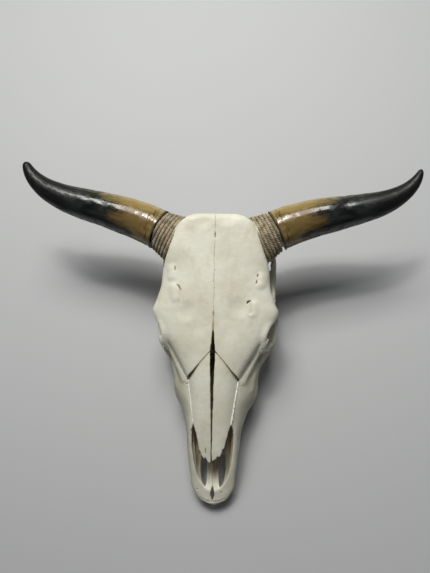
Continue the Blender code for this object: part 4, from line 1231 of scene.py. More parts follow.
def chewing_face(along, out, length, lobes):
    """Depth of the chewing face: enamel rims and a crescent of enamel in each lobe stand at zero, and
    the softer tooth between them is worn down."""
    depth = np.full(along.shape, 0.0022)
    edge = np.abs(along / (length / 2)) ** 2.7 + np.abs(out / (TOOTH_WIDTH / 2)) ** 2.7
    depth *= 1 - ease(edge, 0.5, 0.78)
    for lobe in range(lobes):
        middle = (lobe + 0.5) * length / lobes - length / 2
        u = (along - middle) / (length / lobes * 0.3)
        v = out / (TOOTH_WIDTH * 0.24)
        ring = np.hypot(u, v + 0.45 * (u * u - 0.5))
        depth *= 1 - 0.9 * np.exp(-((ring - 0.85) / 0.22) ** 2)
        depth += 0.0014 * np.exp(-(ring / 0.45) ** 2)
    return depth


def tooth(length, lobes, middle, x):
    """One tooth as a closed tube of rings, down along its column and inwards over its chewing face, with
    its point values: how deep it is worn, and how near the neck it lies."""
    angle = np.linspace(0, TAU, 56, endpoint=False)
    along, out = tooth_ring(angle, length, lobes)
    rings = [(along * share, out * share, np.full(angle.shape, height)) for height, share in TOOTH_COLUMN]
    for share in np.linspace(0.85, 0.04, FACE_RINGS):
        a, b = along * share, out * share
        rings.append((a, b, chewing_face(a, b, length, lobes)))
    rings = np.array(rings).transpose(0, 2, 1)
    place_at = np.stack([x + rings[..., 1], middle + rings[..., 0], rings[..., 2]], -1)
    points, faces = closed_tube(place_at)
    worn = np.concatenate([np.zeros(len(TOOTH_COLUMN)), np.ones(FACE_RINGS)])[:, None]
    dark = np.clip(rings[..., 2] / 0.0026, 0, 1) * worn
    neck = ease(rings[..., 2], 0.012, 0.022) * (1 - worn)
    return points, faces, np.append(dark.ravel(), (0, dark[-1].mean())), np.append(neck.ravel(), (1, 0))


def make_teeth(material):
    """Six teeth a side, set one behind the other along the row."""
    start, end = TOOTH_ROW
    space = (end - start - sum(length for length, _ in TEETH)) / (len(TEETH) - 1)
    for side in SIDES:
        y = start
        bodies = []
        for length, lobes in TEETH:
            middle = y + length / 2
            bodies.append(tooth(length, lobes, middle, np.interp(middle, TOOTH_ROW, TOOTH_OUT)))
            y += length + space
        points, faces, worn, neck = joined(bodies)
        points, faces = mirror_side(points, faces, side)
        marks = {"worn": worn, "neck": neck}
        piece = mesh_piece(f"teeth_{side}", points, faces, material, marks=marks)


# ---- horns ----
def horn_path(side, steps):
    """Points and directions of a horn's middle line, on the left side. The heading turns from the leave
    angle to the run within the first half and curls up at the tip, and the points add up the steps."""
    length, run, power, curl, lift, _ = HORN_COURSE[side]
    share = np.linspace(0, 1, steps + 1)
    plan = np.radians(run + (HORN_LEAVE - run) * (1 - share) ** power + curl * share ** 5)
    climb = np.radians(HORN_RISE + lift * share ** 2)
    ahead = np.stack([np.cos(plan) * np.cos(climb), np.sin(plan) * np.cos(climb), np.sin(climb)], 1)
    path = HORN_BASE + np.vstack([np.zeros(3), np.cumsum(ahead[:-1], axis=0)]) * length / steps
    return path, ahead, share


def horn_heading():
    """Direction of the left horn's middle line at its base."""
    return horn_path("left", 8)[1][0]


def horn_radius(side, share):
    """Radius along a horn: it falls as (1 - (0.975 s)^1.6)^p, and a quarter circle closes the tip."""
    taper = (1 - (0.975 * share) ** 1.6) ** HORN_COURSE[side][-1]
    return HORN_RADIUS * taper * np.sqrt(1 - np.clip((share - 0.978) / 0.0225, 0, 1) ** 2)


def horn_relief(settings, from_base, share, angle, seed):
    """What growth adds to a horn's radius: rings a little askew that fade from the base, long shallow
    swellings with smaller ones on them, and a chipped lip."""
    swell = noise_sheet(angle / TAU, share, (5, 14), 51 + seed).T
    dimples = noise_sheet(angle / TAU, share, (7, 24), 59 + seed).T
    askew = noise_sheet(angle / TAU, share, (5, 12), 53 + seed).T
    nicks = noise_sheet(angle / TAU, share, (30, 110), 55 + seed).T
    wave = np.sin(TAU * (from_base / settings.ring_space + 0.3 * askew))
    ridges = settings.ring_height * wave * (0.45 + 0.55 * nicks) * np.exp(-from_base / 0.022)
    long_waves = (0.0006 * swell + 0.00034 * dimples) * np.sin(math.pi * share)[:, None]
    lip = np.exp(-(from_base / 0.0035) ** 2) * (0.0005 + 0.0007 * nicks)
    return ridges + long_waves + lip


def make_horns(settings, material):
    """A horn sheath each side: a ring carried along the middle line, with the taper and the relief. The
    base edge is frayed, and turns in to a rim round the core."""
    for seed, side in enumerate(SIDES):
        path, ahead, share = horn_path(side, 420)
        angle = np.linspace(0, TAU, 110, endpoint=False)
        from_base = share[:, None] * HORN_COURSE[side][0]
        radius = horn_radius(side, share)[:, None]
        radius = radius + horn_relief(settings, from_base, share, angle, seed) * np.minimum(radius / 0.012, 1)
        walls = rings_round(path, *square_to(ahead), radius, radius, angle)
        edge = noise_sheet(angle / TAU, share, (26, 4), 57 + seed)[:, 0]
        walls = walls - ahead[:, None] * (np.exp(-from_base / 0.004) * 0.0013 * edge)[..., None]
        inner = path[0] + 0.86 * (walls[0] - path[0]) + 0.003 * ahead[0]
        walls = np.concatenate([inner[None], walls[:-1]])
        points, faces = mirror_side(*closed_tube(walls), side)
        count = len(angle)
        along = np.concatenate([np.zeros(count), np.repeat(share[:-1], count), [0, 1]])
        turn = np.concatenate([np.tile(angle, len(share)), [0, 0]])
        marks = {"along": along, "round_x": np.cos(turn), "round_y": np.sin(turn)}
        piece = mesh_piece(f"horn_sheath_{side}", points, faces, material, marks=marks)
        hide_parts(f"horn_{side}")


# ---- rope ----
def wrap_path(samples):
    """Points of the rope's middle line round the horn core, on the left side: a helix whose two radii
    grow, and whose middle sinks, on the way back to the skull. Its ends dive into the core, and its last
    turns draw in to pass under the edge of the forehead."""
    ahead = horn_heading()
    flat, up = square_to(ahead)
    turn = np.linspace(0, ROPE_TURNS, samples)
    back = ROPE_START + turn * ROPE * ROPE_SPACING
    deep, over = ROPE_DIVE
    dive = deep * (1 - ease(turn, 0, over)) + deep * ease(turn, ROPE_TURNS - over, ROPE_TURNS)
    dive += ROPE_TUCK * ease(turn, *TUCK_TURNS)
    wide = ROPE_RADIUS - ROPE / 2 + ROPE_FLARE[0] * back - dive
    high = ROPE_RADIUS - ROPE / 2 + ROPE_FLARE[1] * back - dive
    angle = TAU * turn + ROPE_ANGLE
    centre = HORN_BASE - ahead * back[:, None]
    centre[:, 2] -= ROPE_SINK * back
    return centre + flat * (wide * np.cos(angle))[:, None] + up * (high * np.sin(angle))[:, None]


def away_from_core(points):
    """Unit vectors that point from the left horn core's axis to the points."""
    core = horn_heading()
    out = points - HORN_BASE
    out -= core * (out @ core)[:, None]
    return unit(out)


STRAND_OFFSET, STRAND_RADIUS = 0.225, 0.285  # as shares of the rope's thickness
STRAND_SHIFT = 0.37  # how far the fibre pattern moves on from strand to strand


def strand(k, path, outward, sideways, pitch):
    """The rope's strand k of three: a tube round a helix about the rope's middle line, with a radius
    that varies a little. A pitch below zero twists it the other way."""
    run = np.concatenate([[0], np.cumsum(np.linalg.norm(np.diff(path, axis=0), axis=1))])
    twist = (TAU * run / pitch + TAU * k / 3)[:, None]
    middle = path + STRAND_OFFSET * ROPE * (outward * np.cos(twist) + sideways * np.sin(twist))
    _, side, other = frames_along(middle, outward)
    angle = np.linspace(0, TAU, 12, endpoint=False)
    rough = noise_sheet(angle / TAU, run / run[-1], (4, 260), 61 + k).T
    radius = STRAND_RADIUS * ROPE * (1 + 0.07 * rough)
    points, faces = closed_tube(rings_round(middle, side, other, radius, radius, angle))
    along = np.append(np.repeat(run, len(angle)), (0, run[-1])) + STRAND_SHIFT * k
    turned = TAU * np.append(np.tile(angle / TAU, len(run)), (0, 0))
    return points, faces, along, turned


def make_ropes(settings, material):
    """A rope of three strands wound round each horn core, as one piece a side. Both have the same lay,
    so the side that is mirrored afterwards starts with the opposite twist."""
    for side in SIDES:
        pitch = -settings.rope_pitch if side == "left" else settings.rope_pitch
        path = wrap_path(1900)
        outward = away_from_core(path)
        sideways = np.cross(frames_along(path)[0], outward)
        strands = [strand(k, path, outward, sideways, pitch) for k in range(3)]
        points, faces, along, turned = joined(strands)
        points, faces = mirror_side(points, faces, side)
        marks = {"along": along, "turned": np.sin(turned), "turned_b": np.cos(turned)}
        piece = mesh_piece(f"rope_wrap_{side}", points, faces, material, marks=marks)
        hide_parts(f"rope_{side}")


FIBRE_TAPER = np.array((1.0, 0.8, 0.3))  # thickness at the root, the bend and the tip
FIBRE_STEP = 997.0  # spreads the fibres' roots over the fibre pattern


def spike_faces():
    """Triangles of a three-sided spike of three rings, and of its two ends."""
    faces = [(2, 1, 0), (6, 7, 8)]
    for first in (0, 3):
        for k in range(3):
            after = (k + 1) % 3
            faces.append((first + k, first + after, first + 3 + after))
            faces.append((first + k, first + 3 + after, first + 3 + k))
    return np.array(faces)


def make_fibres(settings, material):
    """Loose fibres that stand off the rope: thin three-sided spikes, each bent once, whose roots are
    drawn by lot along the wrap."""
    count = settings.fibres
    for seed, side in enumerate(SIDES):
        lot = np.random.default_rng(71 + seed)
        path = wrap_path(4000)
        root_at = lot.integers(60, len(path) - 60, count)
        out = away_from_core(path[root_at])
        lean = lot.normal(size=(count, 3))
        root = path[root_at] + out * ROPE * 0.42 + lean * 0.0006
        length = lot.uniform(0.002, 0.0065, (count, 1))
        heading = unit(0.45 * out + 0.8 * lean)
        bend = unit(heading + 0.7 * lot.normal(size=(count, 3)))
        spine = np.stack([root, root + heading * length * 0.5, root + (heading + bend) * length * 0.5], 1)
        across, over = square_to(heading, horn_heading())
        thick = settings.fibre_width / 2 * FIBRE_TAPER
        angle = TAU * np.arange(3) / 3
        star = across[:, None] * np.cos(angle)[:, None] + over[:, None] * np.sin(angle)[:, None]
        rings = spine[:, :, None] + thick[:, None, None] * star[:, None]
        faces = (np.arange(count) * 9)[:, None, None] + spike_faces()
        points, faces = mirror_side(rings.reshape(-1, 3), faces.reshape(-1, 3), side)
        flat = np.zeros(len(points))
        marks = {"along": np.repeat(root_at / FIBRE_STEP, 9), "turned": flat, "turned_b": flat + 1}
        piece = mesh_piece(f"rope_fibres_{side}", points, faces, material, smooth=False, marks=marks)


# ---- materials ----
class Nodes:
    """Short calls for building a node tree: each returns the output socket of a new node."""

    def __init__(self, tree):
        self.tree = tree

    def add(self, kind, **settings):
        node = self.tree.nodes.new(kind)
        for name, value in settings.items():
            setattr(node, name, value)
        return node

    def put(self, socket, value):
        if isinstance(value, bpy.types.NodeSocket):
            self.tree.links.new(value, socket)
        else:
            socket.default_value = (*value, 1.0) if socket.type == "RGBA" else value

    def math(self, operation, a, b, clamp=False):
        node = self.add("ShaderNodeMath", operation=operation, use_clamp=clamp)
        self.put(node.inputs[0], a)
        self.put(node.inputs[1], b)
        return node.outputs[0]

    def noise(self, vector, scale, detail=4.0, roughness=0.55):
        node = self.add("ShaderNodeTexNoise")
        self.put(node.inputs["Vector"], vector)
        for name, value in (("Scale", scale), ("Detail", detail), ("Roughness", roughness)):
            self.put(node.inputs[name], value)
        return node.outputs["Fac"]

    def ramp(self, value, low, high, start=0.0, end=1.0):
        node = self.add("ShaderNodeMapRange", interpolation_type="SMOOTHSTEP")
        for name, part in (("Value", value), ("From Min", low), ("From Max", high), ("To Min", start),
                           ("To Max", end)):
            self.put(node.inputs[name], part)
        return node.outputs["Result"]

    def times(self, a, b):
        return self.math("MULTIPLY", a, b)

    def plus(self, a, b):
        return self.math("ADD", a, b)

    def minus(self, a, b):
        return self.math("SUBTRACT", a, b)

    def mix(self, share, a, b):
        node = self.add("ShaderNodeMix", data_type="RGBA")
        for index, value in ((0, share), (6, a), (7, b)):
            self.put(node.inputs[index], value)
        return node.outputs[2]

    def mark(self, name):
        return self.add("ShaderNodeAttribute", attribute_name=name).outputs["Fac"]

    def place(self, scale=(1.0, 1.0, 1.0)):
        node = self.add("ShaderNodeMapping")
        self.put(node.inputs["Vector"], self.add("ShaderNodeTexCoord").outputs["Object"])
        node.inputs["Scale"].default_value = scale
        return node.outputs["Vector"]

    def vector(self, x, y, z):
        node = self.add("ShaderNodeCombineXYZ")
        for socket, part in zip(node.inputs, (x, y, z)):
            self.put(socket, part)
        return node.outputs[0]

    def group(self, tree, **values):
        node = self.add("ShaderNodeGroup", node_tree=tree)
        for name, value in values.items():
            self.put(node.inputs[name.replace("_", " ")], value)
        return node.outputs


def node_group(name, inputs, outputs):
    """An empty shader group with named sockets, and its two end nodes."""
    tree = bpy.data.node_groups.new(name, "ShaderNodeTree")
    kinds = {"value": "NodeSocketFloat", "colour": "NodeSocketColor", "vector": "NodeSocketVector"}
    for socket, kind in inputs:
        tree.interface.new_socket(socket, in_out="INPUT", socket_type=kinds[kind])
    for socket, kind in outputs:
        tree.interface.new_socket(socket, in_out="OUTPUT", socket_type=kinds[kind])
    return tree, tree.nodes.new("NodeGroupInput"), tree.nodes.new("NodeGroupOutput")


def mottle_group():
    """Blotches of two scales: mixes Light and Dark by a broad noise, and adds a fine speckle."""
    tree, given, result = node_group(
        "Mottle",
        [("Place", "vector"), ("Light", "colour"), ("Dark", "colour"), ("Scale", "value"),
         ("Speckle", "value")],
        [("Colour", "colour"), ("Blotch", "value")],
    )
    make = Nodes(tree)
    broad = make.noise(given.outputs["Place"], given.outputs["Scale"], 3.0, 0.55)
    fine = make.noise(given.outputs["Place"], make.times(given.outputs["Scale"], 9.0), 4.0, 0.65)
    blotch = make.ramp(broad, 0.36, 0.66)
    speckle = make.times(make.minus(fine, 0.5), given.outputs["Speckle"])
    share = make.math("ADD", blotch, speckle, clamp=True)
    make.put(result.inputs["Colour"], make.mix(share, given.outputs["Light"], given.outputs["Dark"]))
    make.put(result.inputs["Blotch"], blotch)
    return tree


def grain_group():
    """A surface height: fine grit, small pores and a soft unevenness, each with its own share."""
    tree, given, result = node_group(
        "Grain",
        [("Place", "vector"), ("Scale", "value"), ("Grit", "value"), ("Pores", "value"), ("Waves", "value")],
        [("Height", "value"), ("Pits", "value")],
    )
    make = Nodes(tree)
    spot, scale = given.outputs["Place"], given.outputs["Scale"]
    grit = make.noise(spot, make.times(scale, 4.0), 3.0, 0.7)
    waves = make.noise(spot, make.times(scale, 0.35), 2.0, 0.5)
    cells = make.add("ShaderNodeTexVoronoi")
    make.put(cells.inputs["Vector"], spot)
    make.put(cells.inputs["Scale"], scale)
    patches = make.ramp(make.noise(spot, make.times(scale, 0.06), 2.0, 0.5), 0.48, 0.62)
    pits = make.times(make.ramp(cells.outputs["Distance"], 0.1, 0.28, 1.0, 0.0), patches)
    height = make.times(grit, given.outputs["Grit"])
    height = make.plus(height, make.times(waves, given.outputs["Waves"]))
    height = make.minus(height, make.times(pits, given.outputs["Pores"]))
    make.put(result.inputs["Height"], height)
    make.put(result.inputs["Pits"], pits)
    return tree


def new_surface(name):
    """A material with its Principled shader, and the short calls for its tree."""
    material = bpy.data.materials.new(name)
    material.use_nodes = True
    return material, material.node_tree.nodes["Principled BSDF"], Nodes(material.node_tree)


def bump(make, shader, height, strength, distance):
    node = make.add("ShaderNodeBump")
    node.inputs["Strength"].default_value = strength
    node.inputs["Distance"].default_value = distance
    make.put(node.inputs["Height"], height)
    make.put(shader.inputs["Normal"], node.outputs["Normal"])


def bone_material(colours, mottle, grain):
    """Bleached bone: ivory with faint blotches, dirt and painted shade in the hollows, painted shade in wide
    recesses and on steep sides, paler edges, tan streaks inside the nose that are partly painted shade,
    yellow-brown stain along the cracks and a porous, chalky surface."""
    material, shader, make = new_surface("weathered bone")
    spot = make.place()
    base = make.group(mottle, Place=spot, Light=colours.bone, Dark=colours.bone_shade, Scale=22.0,
                      Speckle=0.35)["Colour"]
    veins = make.ramp(make.noise(make.place((1.0, 0.35, 1.0)), 60.0, 5.0, 0.6), 0.52, 0.66)
    base = make.mix(make.times(veins, 0.16), base, colours.bone_dirt_and_shade)
    uneven = make.ramp(make.noise(spot, 34.0), 0.25, 0.65, 0.62, 0.9)
    # Painted shade: steep sides are darkened towards a greyer bone.
    base = make.mix(make.times(make.mark("side"), uneven), base, colours.bone_side_shade)
    # Painted shade in wide recesses.
    base = make.mix(make.times(make.mark("shade"), 0.75), base, colours.bone_recess_shade)
    patchy = make.ramp(make.noise(spot, 90.0), 0.3, 0.6, 0.34, 0.75)
    # Dirt and painted shade in small hollows and creases.
    base = make.mix(make.times(make.mark("hollow"), patchy), base, colours.bone_dirt_and_shade)
    edge = make.times(make.mark("edge"), make.ramp(make.noise(spot, 70.0), 0.35, 0.6))
    base = make.mix(make.times(edge, 0.55), base, colours.bone_edge)
    streaks = make.ramp(make.noise(make.place((1.0, 0.12, 0.5)), 170.0, 4.0, 0.6), 0.35, 0.68)
    inner = make.mix(streaks, colours.nose_light, colours.nose_dark)
    # Inside the nose, cracks and slits: tan streaks, partly the bone's own colour and partly painted shade,
    # with a painted shadow under the nasal tips.
    base = make.mix(make.times(make.mark("inside"), 0.85), base, inner)
    broken = make.ramp(make.noise(spot, 130.0), 0.3, 0.55, 0.2, 0.7)
    base = make.mix(make.times(make.mark("stain"), broken), base, colours.stain)
    grained = make.group(grain, Place=spot, Scale=650.0, Grit=0.35, Pores=0.5, Waves=0.7)
    base = make.mix(make.times(grained["Pits"], 0.22), base, colours.bone_dirt_and_shade)
    make.put(shader.inputs["Base Color"], base)
    make.put(shader.inputs["Roughness"], make.ramp(make.noise(spot, 45.0), 0.3, 0.7, 0.5, 0.66))
    bump(make, shader, grained["Height"], 0.55, 0.0006)
    return material


def filler_material(colours, mottle, grain):
    """Dried white filler: nearly white, a little dirty, with a crumbly surface."""
    material, shader, make = new_surface("white seam filler")
    spot = make.place()
    base = make.group(mottle, Place=spot, Light=colours.filler, Dark=colours.bone, Scale=120.0,
                      Speckle=0.5)["Colour"]
    make.put(shader.inputs["Base Color"], base)
    shader.inputs["Roughness"].default_value = 0.62
    height = make.group(grain, Place=spot, Scale=900.0, Grit=0.6, Pores=0.6, Waves=0.8)["Height"]
    bump(make, shader, height, 0.6, 0.0005)
    return material


def tooth_material(colours, mottle, grain):
    """Old enamel: cream with brown upright stains, dark worn hollows and a yellowed neck."""
    material, shader, make = new_surface("old enamel")
    spot = make.place()
    base = make.group(mottle, Place=spot, Light=colours.enamel, Dark=colours.bone_shade, Scale=55.0,
                      Speckle=0.4)["Colour"]
    stripes = make.ramp(make.noise(make.place((1.0, 1.0, 0.12)), 260.0, 4.0, 0.6), 0.5, 0.64)
    base = make.mix(make.times(stripes, 0.55), base, colours.tartar)
    base = make.mix(make.times(make.mark("neck"), 0.55), base, colours.bone_dirt_and_shade)
    base = make.mix(make.times(make.mark("worn"), 0.9), base, colours.tartar)
    make.put(shader.inputs["Base Color"], base)
    shader.inputs["Roughness"].default_value = 0.34
    height = make.group(grain, Place=spot, Scale=700.0, Grit=0.3, Pores=0.2, Waves=1.0)["Height"]
    bump(make, shader, height, 0.4, 0.0004)
    return material


def horn_material(colours, grain):
    """Polished horn: mottled amber and brown near the base, furthest along the upper edge, then black
    with olive streaks and a dull green patch. Thin dark growth lines lie by the lip, and a clear gloss,
    worn dull in patches, covers it up to the tip. The texture's place is the direction round the horn and
    the share along it."""
    material, shader, make = new_surface("polished horn")
    along, across, over = make.mark("along"), make.mark("round_x"), make.mark("round_y")

    def round_place(wide, long):
        return make.vector(make.times(across, wide), make.times(over, wide), make.times(along, long))

    broad = make.noise(round_place(1.0, 4.0), 1.4, 2.0, 0.5)
    fine = make.noise(round_place(2.4, 3.4), 5.0, 4.0, 0.6)
    upper = make.ramp(across, -0.95, 0.1, 1.0, 0.0)
    blotches = make.minus(make.plus(broad, make.times(fine, 0.35)), 0.675)
    reach = make.minus(along, make.times(upper, 0.17))
    reach = make.minus(reach, make.times(blotches, 0.6))
    warm = make.ramp(reach, 0.07, 0.35, 1.0, 0.0)
    amber = make.mix(make.ramp(broad, 0.36, 0.64), colours.horn_amber, colours.horn_brown)
    pale = make.times(upper, make.ramp(fine, 0.25, 0.62))
    amber = make.mix(make.times(pale, 0.85), amber, colours.horn_tan)
    streaks = make.times(upper, make.ramp(fine, 0.36, 0.68))
    streaks = make.times(streaks, make.ramp(along, 0.42, 0.74, 1.0, 0.0))
    dark = make.mix(streaks, colours.horn_black, colours.horn_olive)
    patch = make.times(make.ramp(along, 0.26, 0.4), make.ramp(along, 0.46, 0.72, 1.0, 0.0))
    patch = make.times(patch, make.ramp(broad, 0.36, 0.6))
    dark = make.mix(make.times(patch, 0.8), dark, colours.horn_green)
    base = make.mix(warm, dark, amber)
    lines = make.ramp(make.noise(round_place(0.5, 42.0), 2.0, 3.0, 0.6), 0.5, 0.66)
    lines = make.times(lines, make.ramp(along, 0.03, 0.12, 0.8, 0.0))
    lip = make.ramp(make.plus(along, make.times(fine, 0.02)), 0.014, 0.026, 1.0, 0.0)
    dark_marks = make.math("MAXIMUM", lines, make.times(lip, 0.8))
    base = make.mix(dark_marks, base, colours.horn_line)
    make.put(shader.inputs["Base Color"], base)
    rough = make.plus(make.ramp(fine, 0.3, 0.7, 0.12, 0.2), make.ramp(along, 0.4, 0.75, 0.0, 0.24))
    rough = make.plus(rough, make.times(lip, 0.35))
    patches = make.noise(round_place(1.6, 9.0), 2.6, 2.0, 0.5)
    rough = make.plus(rough, make.ramp(patches, 0.46, 0.58, 0.0, 0.2))
    make.put(shader.inputs["Roughness"], rough)
    bright = make.ramp(patches, 0.46, 0.58, 1.0, 0.0)
    gloss = make.times(make.ramp(along, 0.45, 0.8, 0.35, 0.0), bright)
    make.put(shader.inputs["Coat Weight"], gloss)
    shader.inputs["Coat Roughness"].default_value = 0.06
    shader.inputs["Specular IOR Level"].default_value = 0.35
    fibres = make.noise(round_place(9.0, 3.0), 6.0, 4.0, 0.6)
    pits = make.group(grain, Place=make.place(), Scale=420.0, Grit=0.08, Pores=0.2, Waves=0.5)["Height"]
    bump(make, shader, make.plus(make.times(fibres, 0.25), pits), 0.12, 0.0005)
    return material


def jute_material(colours, mottle):
    """Jute: tan and brown fibres that run with each strand, paler where they are frayed."""
    material, shader, make = new_surface("jute rope")
    along = make.mark("along")
    fibre_place = make.vector(
        make.times(along, 90.0),
        make.times(make.mark("turned"), 3.2),
        make.times(make.mark("turned_b"), 3.2),
    )
    fibres = make.noise(fibre_place, 2.4, 5.0, 0.7)
    base = make.group(mottle, Place=make.place(), Light=colours.jute, Dark=colours.jute_dark,
                      Scale=95.0, Speckle=0.5)["Colour"]
    base = make.mix(make.ramp(fibres, 0.4, 0.62, 0.0, 0.65), base, colours.jute_dark)
    pale = make.ramp(make.noise(fibre_place, 5.0, 3.0, 0.6), 0.56, 0.7, 0.0, 0.7)
    base = make.mix(pale, base, colours.jute_pale)
    make.put(shader.inputs["Base Color"], base)
    shader.inputs["Roughness"].default_value = 0.88
    bump(make, shader, fibres, 0.9, 0.0008)
    return material


def floor_material(colours):
    """A plain pale surface with the faintest unevenness of tone."""
    material, shader, make = new_surface("pale floor")
    tone = make.ramp(make.noise(make.place(), 3.0, 2.0, 0.5), 0.3, 0.7, 0.0, 0.25)
    darker = tuple(part * 0.96 for part in colours.floor)
    make.put(shader.inputs["Base Color"], make.mix(tone, colours.floor, darker))
    shader.inputs["Roughness"].default_value = 0.75
    return material


# ---- stage ----
LAMP_WHITE = (1.0, 0.99, 0.95)
LAMP_AIM = (0, 0, 0.1)
LONG_LAMP = ((-0.2, 1.0, 1.8), (0.32, 0.12))  # place and size
SOFT_PANEL = ((-0.2, 1.3, 2.1), (1.3, 0.9))
PHOTO_WIDTH, PHOTO_HEIGHT = 430, 573
SENSOR = 0.036


def camera_frame(settings):
    """Unit vectors to the camera's right, upwards and back from what it looks at. The view leans by tilt
    from straight down, is turned by yaw towards the animal's left and rolled about its own axis."""
    tilt, yaw, roll = settings.tilt, settings.yaw, settings.roll
    back = unit((math.sin(yaw), -math.sin(tilt) * math.cos(yaw), math.cos(tilt) * math.cos(yaw)))
    right = unit(np.cross((0, 1, 0), back))
    up = np.cross(back, right)
    rolled = right * math.cos(roll) + up * math.sin(roll)
    return rolled, np.cross(back, rolled), back


def make_camera(settings):
    """The camera, its distance behind the point that it looks at. The sensor spans the picture's height,
    and the focal length is as long as the picture's width on it."""
    right, up, back = camera_frame(settings)
    data = bpy.data.cameras.new("camera")
    camera = bpy.data.objects.new("camera", data)
    bpy.context.scene.collection.objects.link(camera)
    at = np.array(settings.look_at) + back * settings.distance
    rows = [(right[i], up[i], back[i], at[i]) for i in range(3)] + [(0, 0, 0, 1)]
    camera.matrix_world = Matrix(rows)
    data.sensor_width = SENSOR * 1000
    data.lens = SENSOR * 1000 * PHOTO_WIDTH / PHOTO_HEIGHT
    data.shift_x = 1 / PHOTO_HEIGHT
    data.clip_start = 0.05
    data.clip_end = 10
    bpy.context.scene.camera = camera


def area_light(name, place_at, size, power):
    """A rectangular lamp at a place, turned to face LAMP_AIM."""
    data = bpy.data.lights.new(name, "AREA")
    data.shape = "RECTANGLE"
    data.size, data.size_y = size
    data.energy = power
    data.color = LAMP_WHITE
    lamp = bpy.data.objects.new(name, data)
    lamp.location = place_at
    lamp.rotation_mode = "QUATERNION"
    lamp.rotation_quaternion = (Vector(LAMP_AIM) - Vector(place_at)).to_track_quat("-Z", "Y")
    bpy.context.scene.collection.objects.link(lamp)


def make_stage(settings, colours):
    """Floor, lamps and an even, dim surround."""
    half = settings.floor_size / 2
    corners = [(-half, -half, 0), (half, -half, 0), (half, half, 0), (-half, half, 0)]
    mesh = bpy.data.meshes.new("floor")
    mesh.from_pydata(corners, [], [(0, 1, 2, 3)])
    mesh.materials.append(floor_material(colours))
    floor = bpy.data.objects.new("floor", mesh)
    bpy.context.scene.collection.objects.link(floor)
    area_light("long lamp", *LONG_LAMP, settings.lamp_power)
    area_light("soft panel", *SOFT_PANEL, settings.panel_power)
    world = bpy.data.worlds.new("surround")
    world.use_nodes = True
    glow = world.node_tree.nodes["Background"]
    glow.inputs["Color"].default_value = (*settings.surround, 1.0)
    glow.inputs["Strength"].default_value = settings.surround_power
    bpy.context.scene.world = world
    bpy.context.scene.view_settings.view_transform = "Standard"
    make_camera(settings)


# ---- settings ----
def number_setting(name, description, default, **kind):
    return FloatProperty(name=name, description=description, default=default, **kind)


def size_setting(name, description, default):
    return number_setting(name, description, default, unit="LENGTH", min=0.0)


def angle_setting(name, description, degrees):
    return number_setting(name, description, math.radians(degrees), subtype="ANGLE")


def colour_setting(name, description, default):
    return FloatVectorProperty(name=name, description=description, default=default, subtype="COLOR",
                               min=0.0, max=1.0, size=3)


class SkullSizes(bpy.types.PropertyGroup):
    """Sizes that a user would change."""
    cell: size_setting("Bone cell", "Lattice step of the fused bones' surface", 0.00115)
    fine_cell: size_setting("Nasal cell", "Lattice step of the nasal bones' surface", 0.0008)
    suture: size_setting("Suture", "Gap between two bones", 0.00016)
    wander: size_setting("Suture wander", "How far a suture strays from its line", 0.0006)
    filler_width: size_setting("Filler width", "Width of the white filler along the nasal bones", 0.0021)
    ring_space: size_setting("Ring spacing", "Distance between the horns' growth rings", 0.0105)
    ring_height: size_setting("Ring height", "How far a growth ring stands out", 0.0006)
    rope_pitch: size_setting("Rope pitch", "Length of one full twist of the rope", 0.015)
    fibre_width: size_setting("Fibre width", "Thickness of the rope's loose fibres", 0.00022)
    fibres: IntProperty(name="Fibres", description="Loose fibres on each rope", default=420, min=0)


class SkullColours(bpy.types.PropertyGroup):
    """Colours of the bones, horns, rope and floor."""
    bone: colour_setting("Bone", "Bleached bone in the light", (0.755, 0.742, 0.635))
    bone_shade: colour_setting("Bone blotch", "Darker blotches on the bone", (0.67, 0.65, 0.53))
    # Painted shade: the colour that steep sides darken to.
    bone_side_shade: colour_setting("Bone side", "Greyer bone on the steep sides", (0.4, 0.385, 0.285))
    # Paler colour on sharp outer edges.
    bone_edge: colour_setting("Bone edge", "Rubbed edges", (0.86, 0.84, 0.76))
    # Dirt in pores, veins and tooth necks, and painted shade in small hollows.
    bone_dirt_and_shade: colour_setting("Bone dirt", "Dirt in hollows and pores", (0.42, 0.35, 0.23))
    # Painted shade: the colour that wide recesses darken to.
    bone_recess_shade: colour_setting("Bone recess", "Bone in wide recesses", (0.52, 0.47, 0.34))
    # Inside the nose: partly the bone's own colour, partly painted shade.
    nose_light: colour_setting("Nose wall", "Lighter streaks inside the nose", (0.5, 0.43, 0.29))
    nose_dark: colour_setting("Nose streak", "Darker streaks inside the nose", (0.2, 0.15, 0.085))
    stain: colour_setting("Stain", "Yellow-brown stain along the cracks", (0.4, 0.34, 0.15))
    filler: colour_setting("Filler", "White filler", (0.9, 0.9, 0.87))
    enamel: colour_setting("Enamel", "Old tooth enamel", (0.7, 0.62, 0.43))
    tartar: colour_setting("Tartar", "Brown stains on the teeth", (0.14, 0.085, 0.04))
    horn_black: colour_setting("Horn black", "Outer horn", (0.004, 0.004, 0.004))
    horn_brown: colour_setting("Horn brown", "Darker blotches near the base", (0.155, 0.1, 0.033))
    horn_amber: colour_setting("Horn amber", "Warm horn near the base", (0.32, 0.235, 0.086))
    horn_tan: colour_setting("Horn tan", "Pale streaks on the upper edge", (0.38, 0.29, 0.11))
    horn_olive: colour_setting("Horn olive", "Greenish streaks", (0.085, 0.08, 0.035))
    horn_green: colour_setting("Horn green", "Dull patch in the black", (0.026, 0.032, 0.03))
    horn_line: colour_setting("Growth line", "Dark lines and lip", (0.022, 0.013, 0.007))
    jute: colour_setting("Jute", "Rope in the light", (0.52, 0.44, 0.3))
    jute_dark: colour_setting("Jute shade", "Darker fibres", (0.19, 0.148, 0.092))
    jute_pale: colour_setting("Frayed jute", "Pale frayed fibres", (0.62, 0.57, 0.43))
    floor: colour_setting("Floor", "Pale floor", (0.5, 0.51, 0.52))


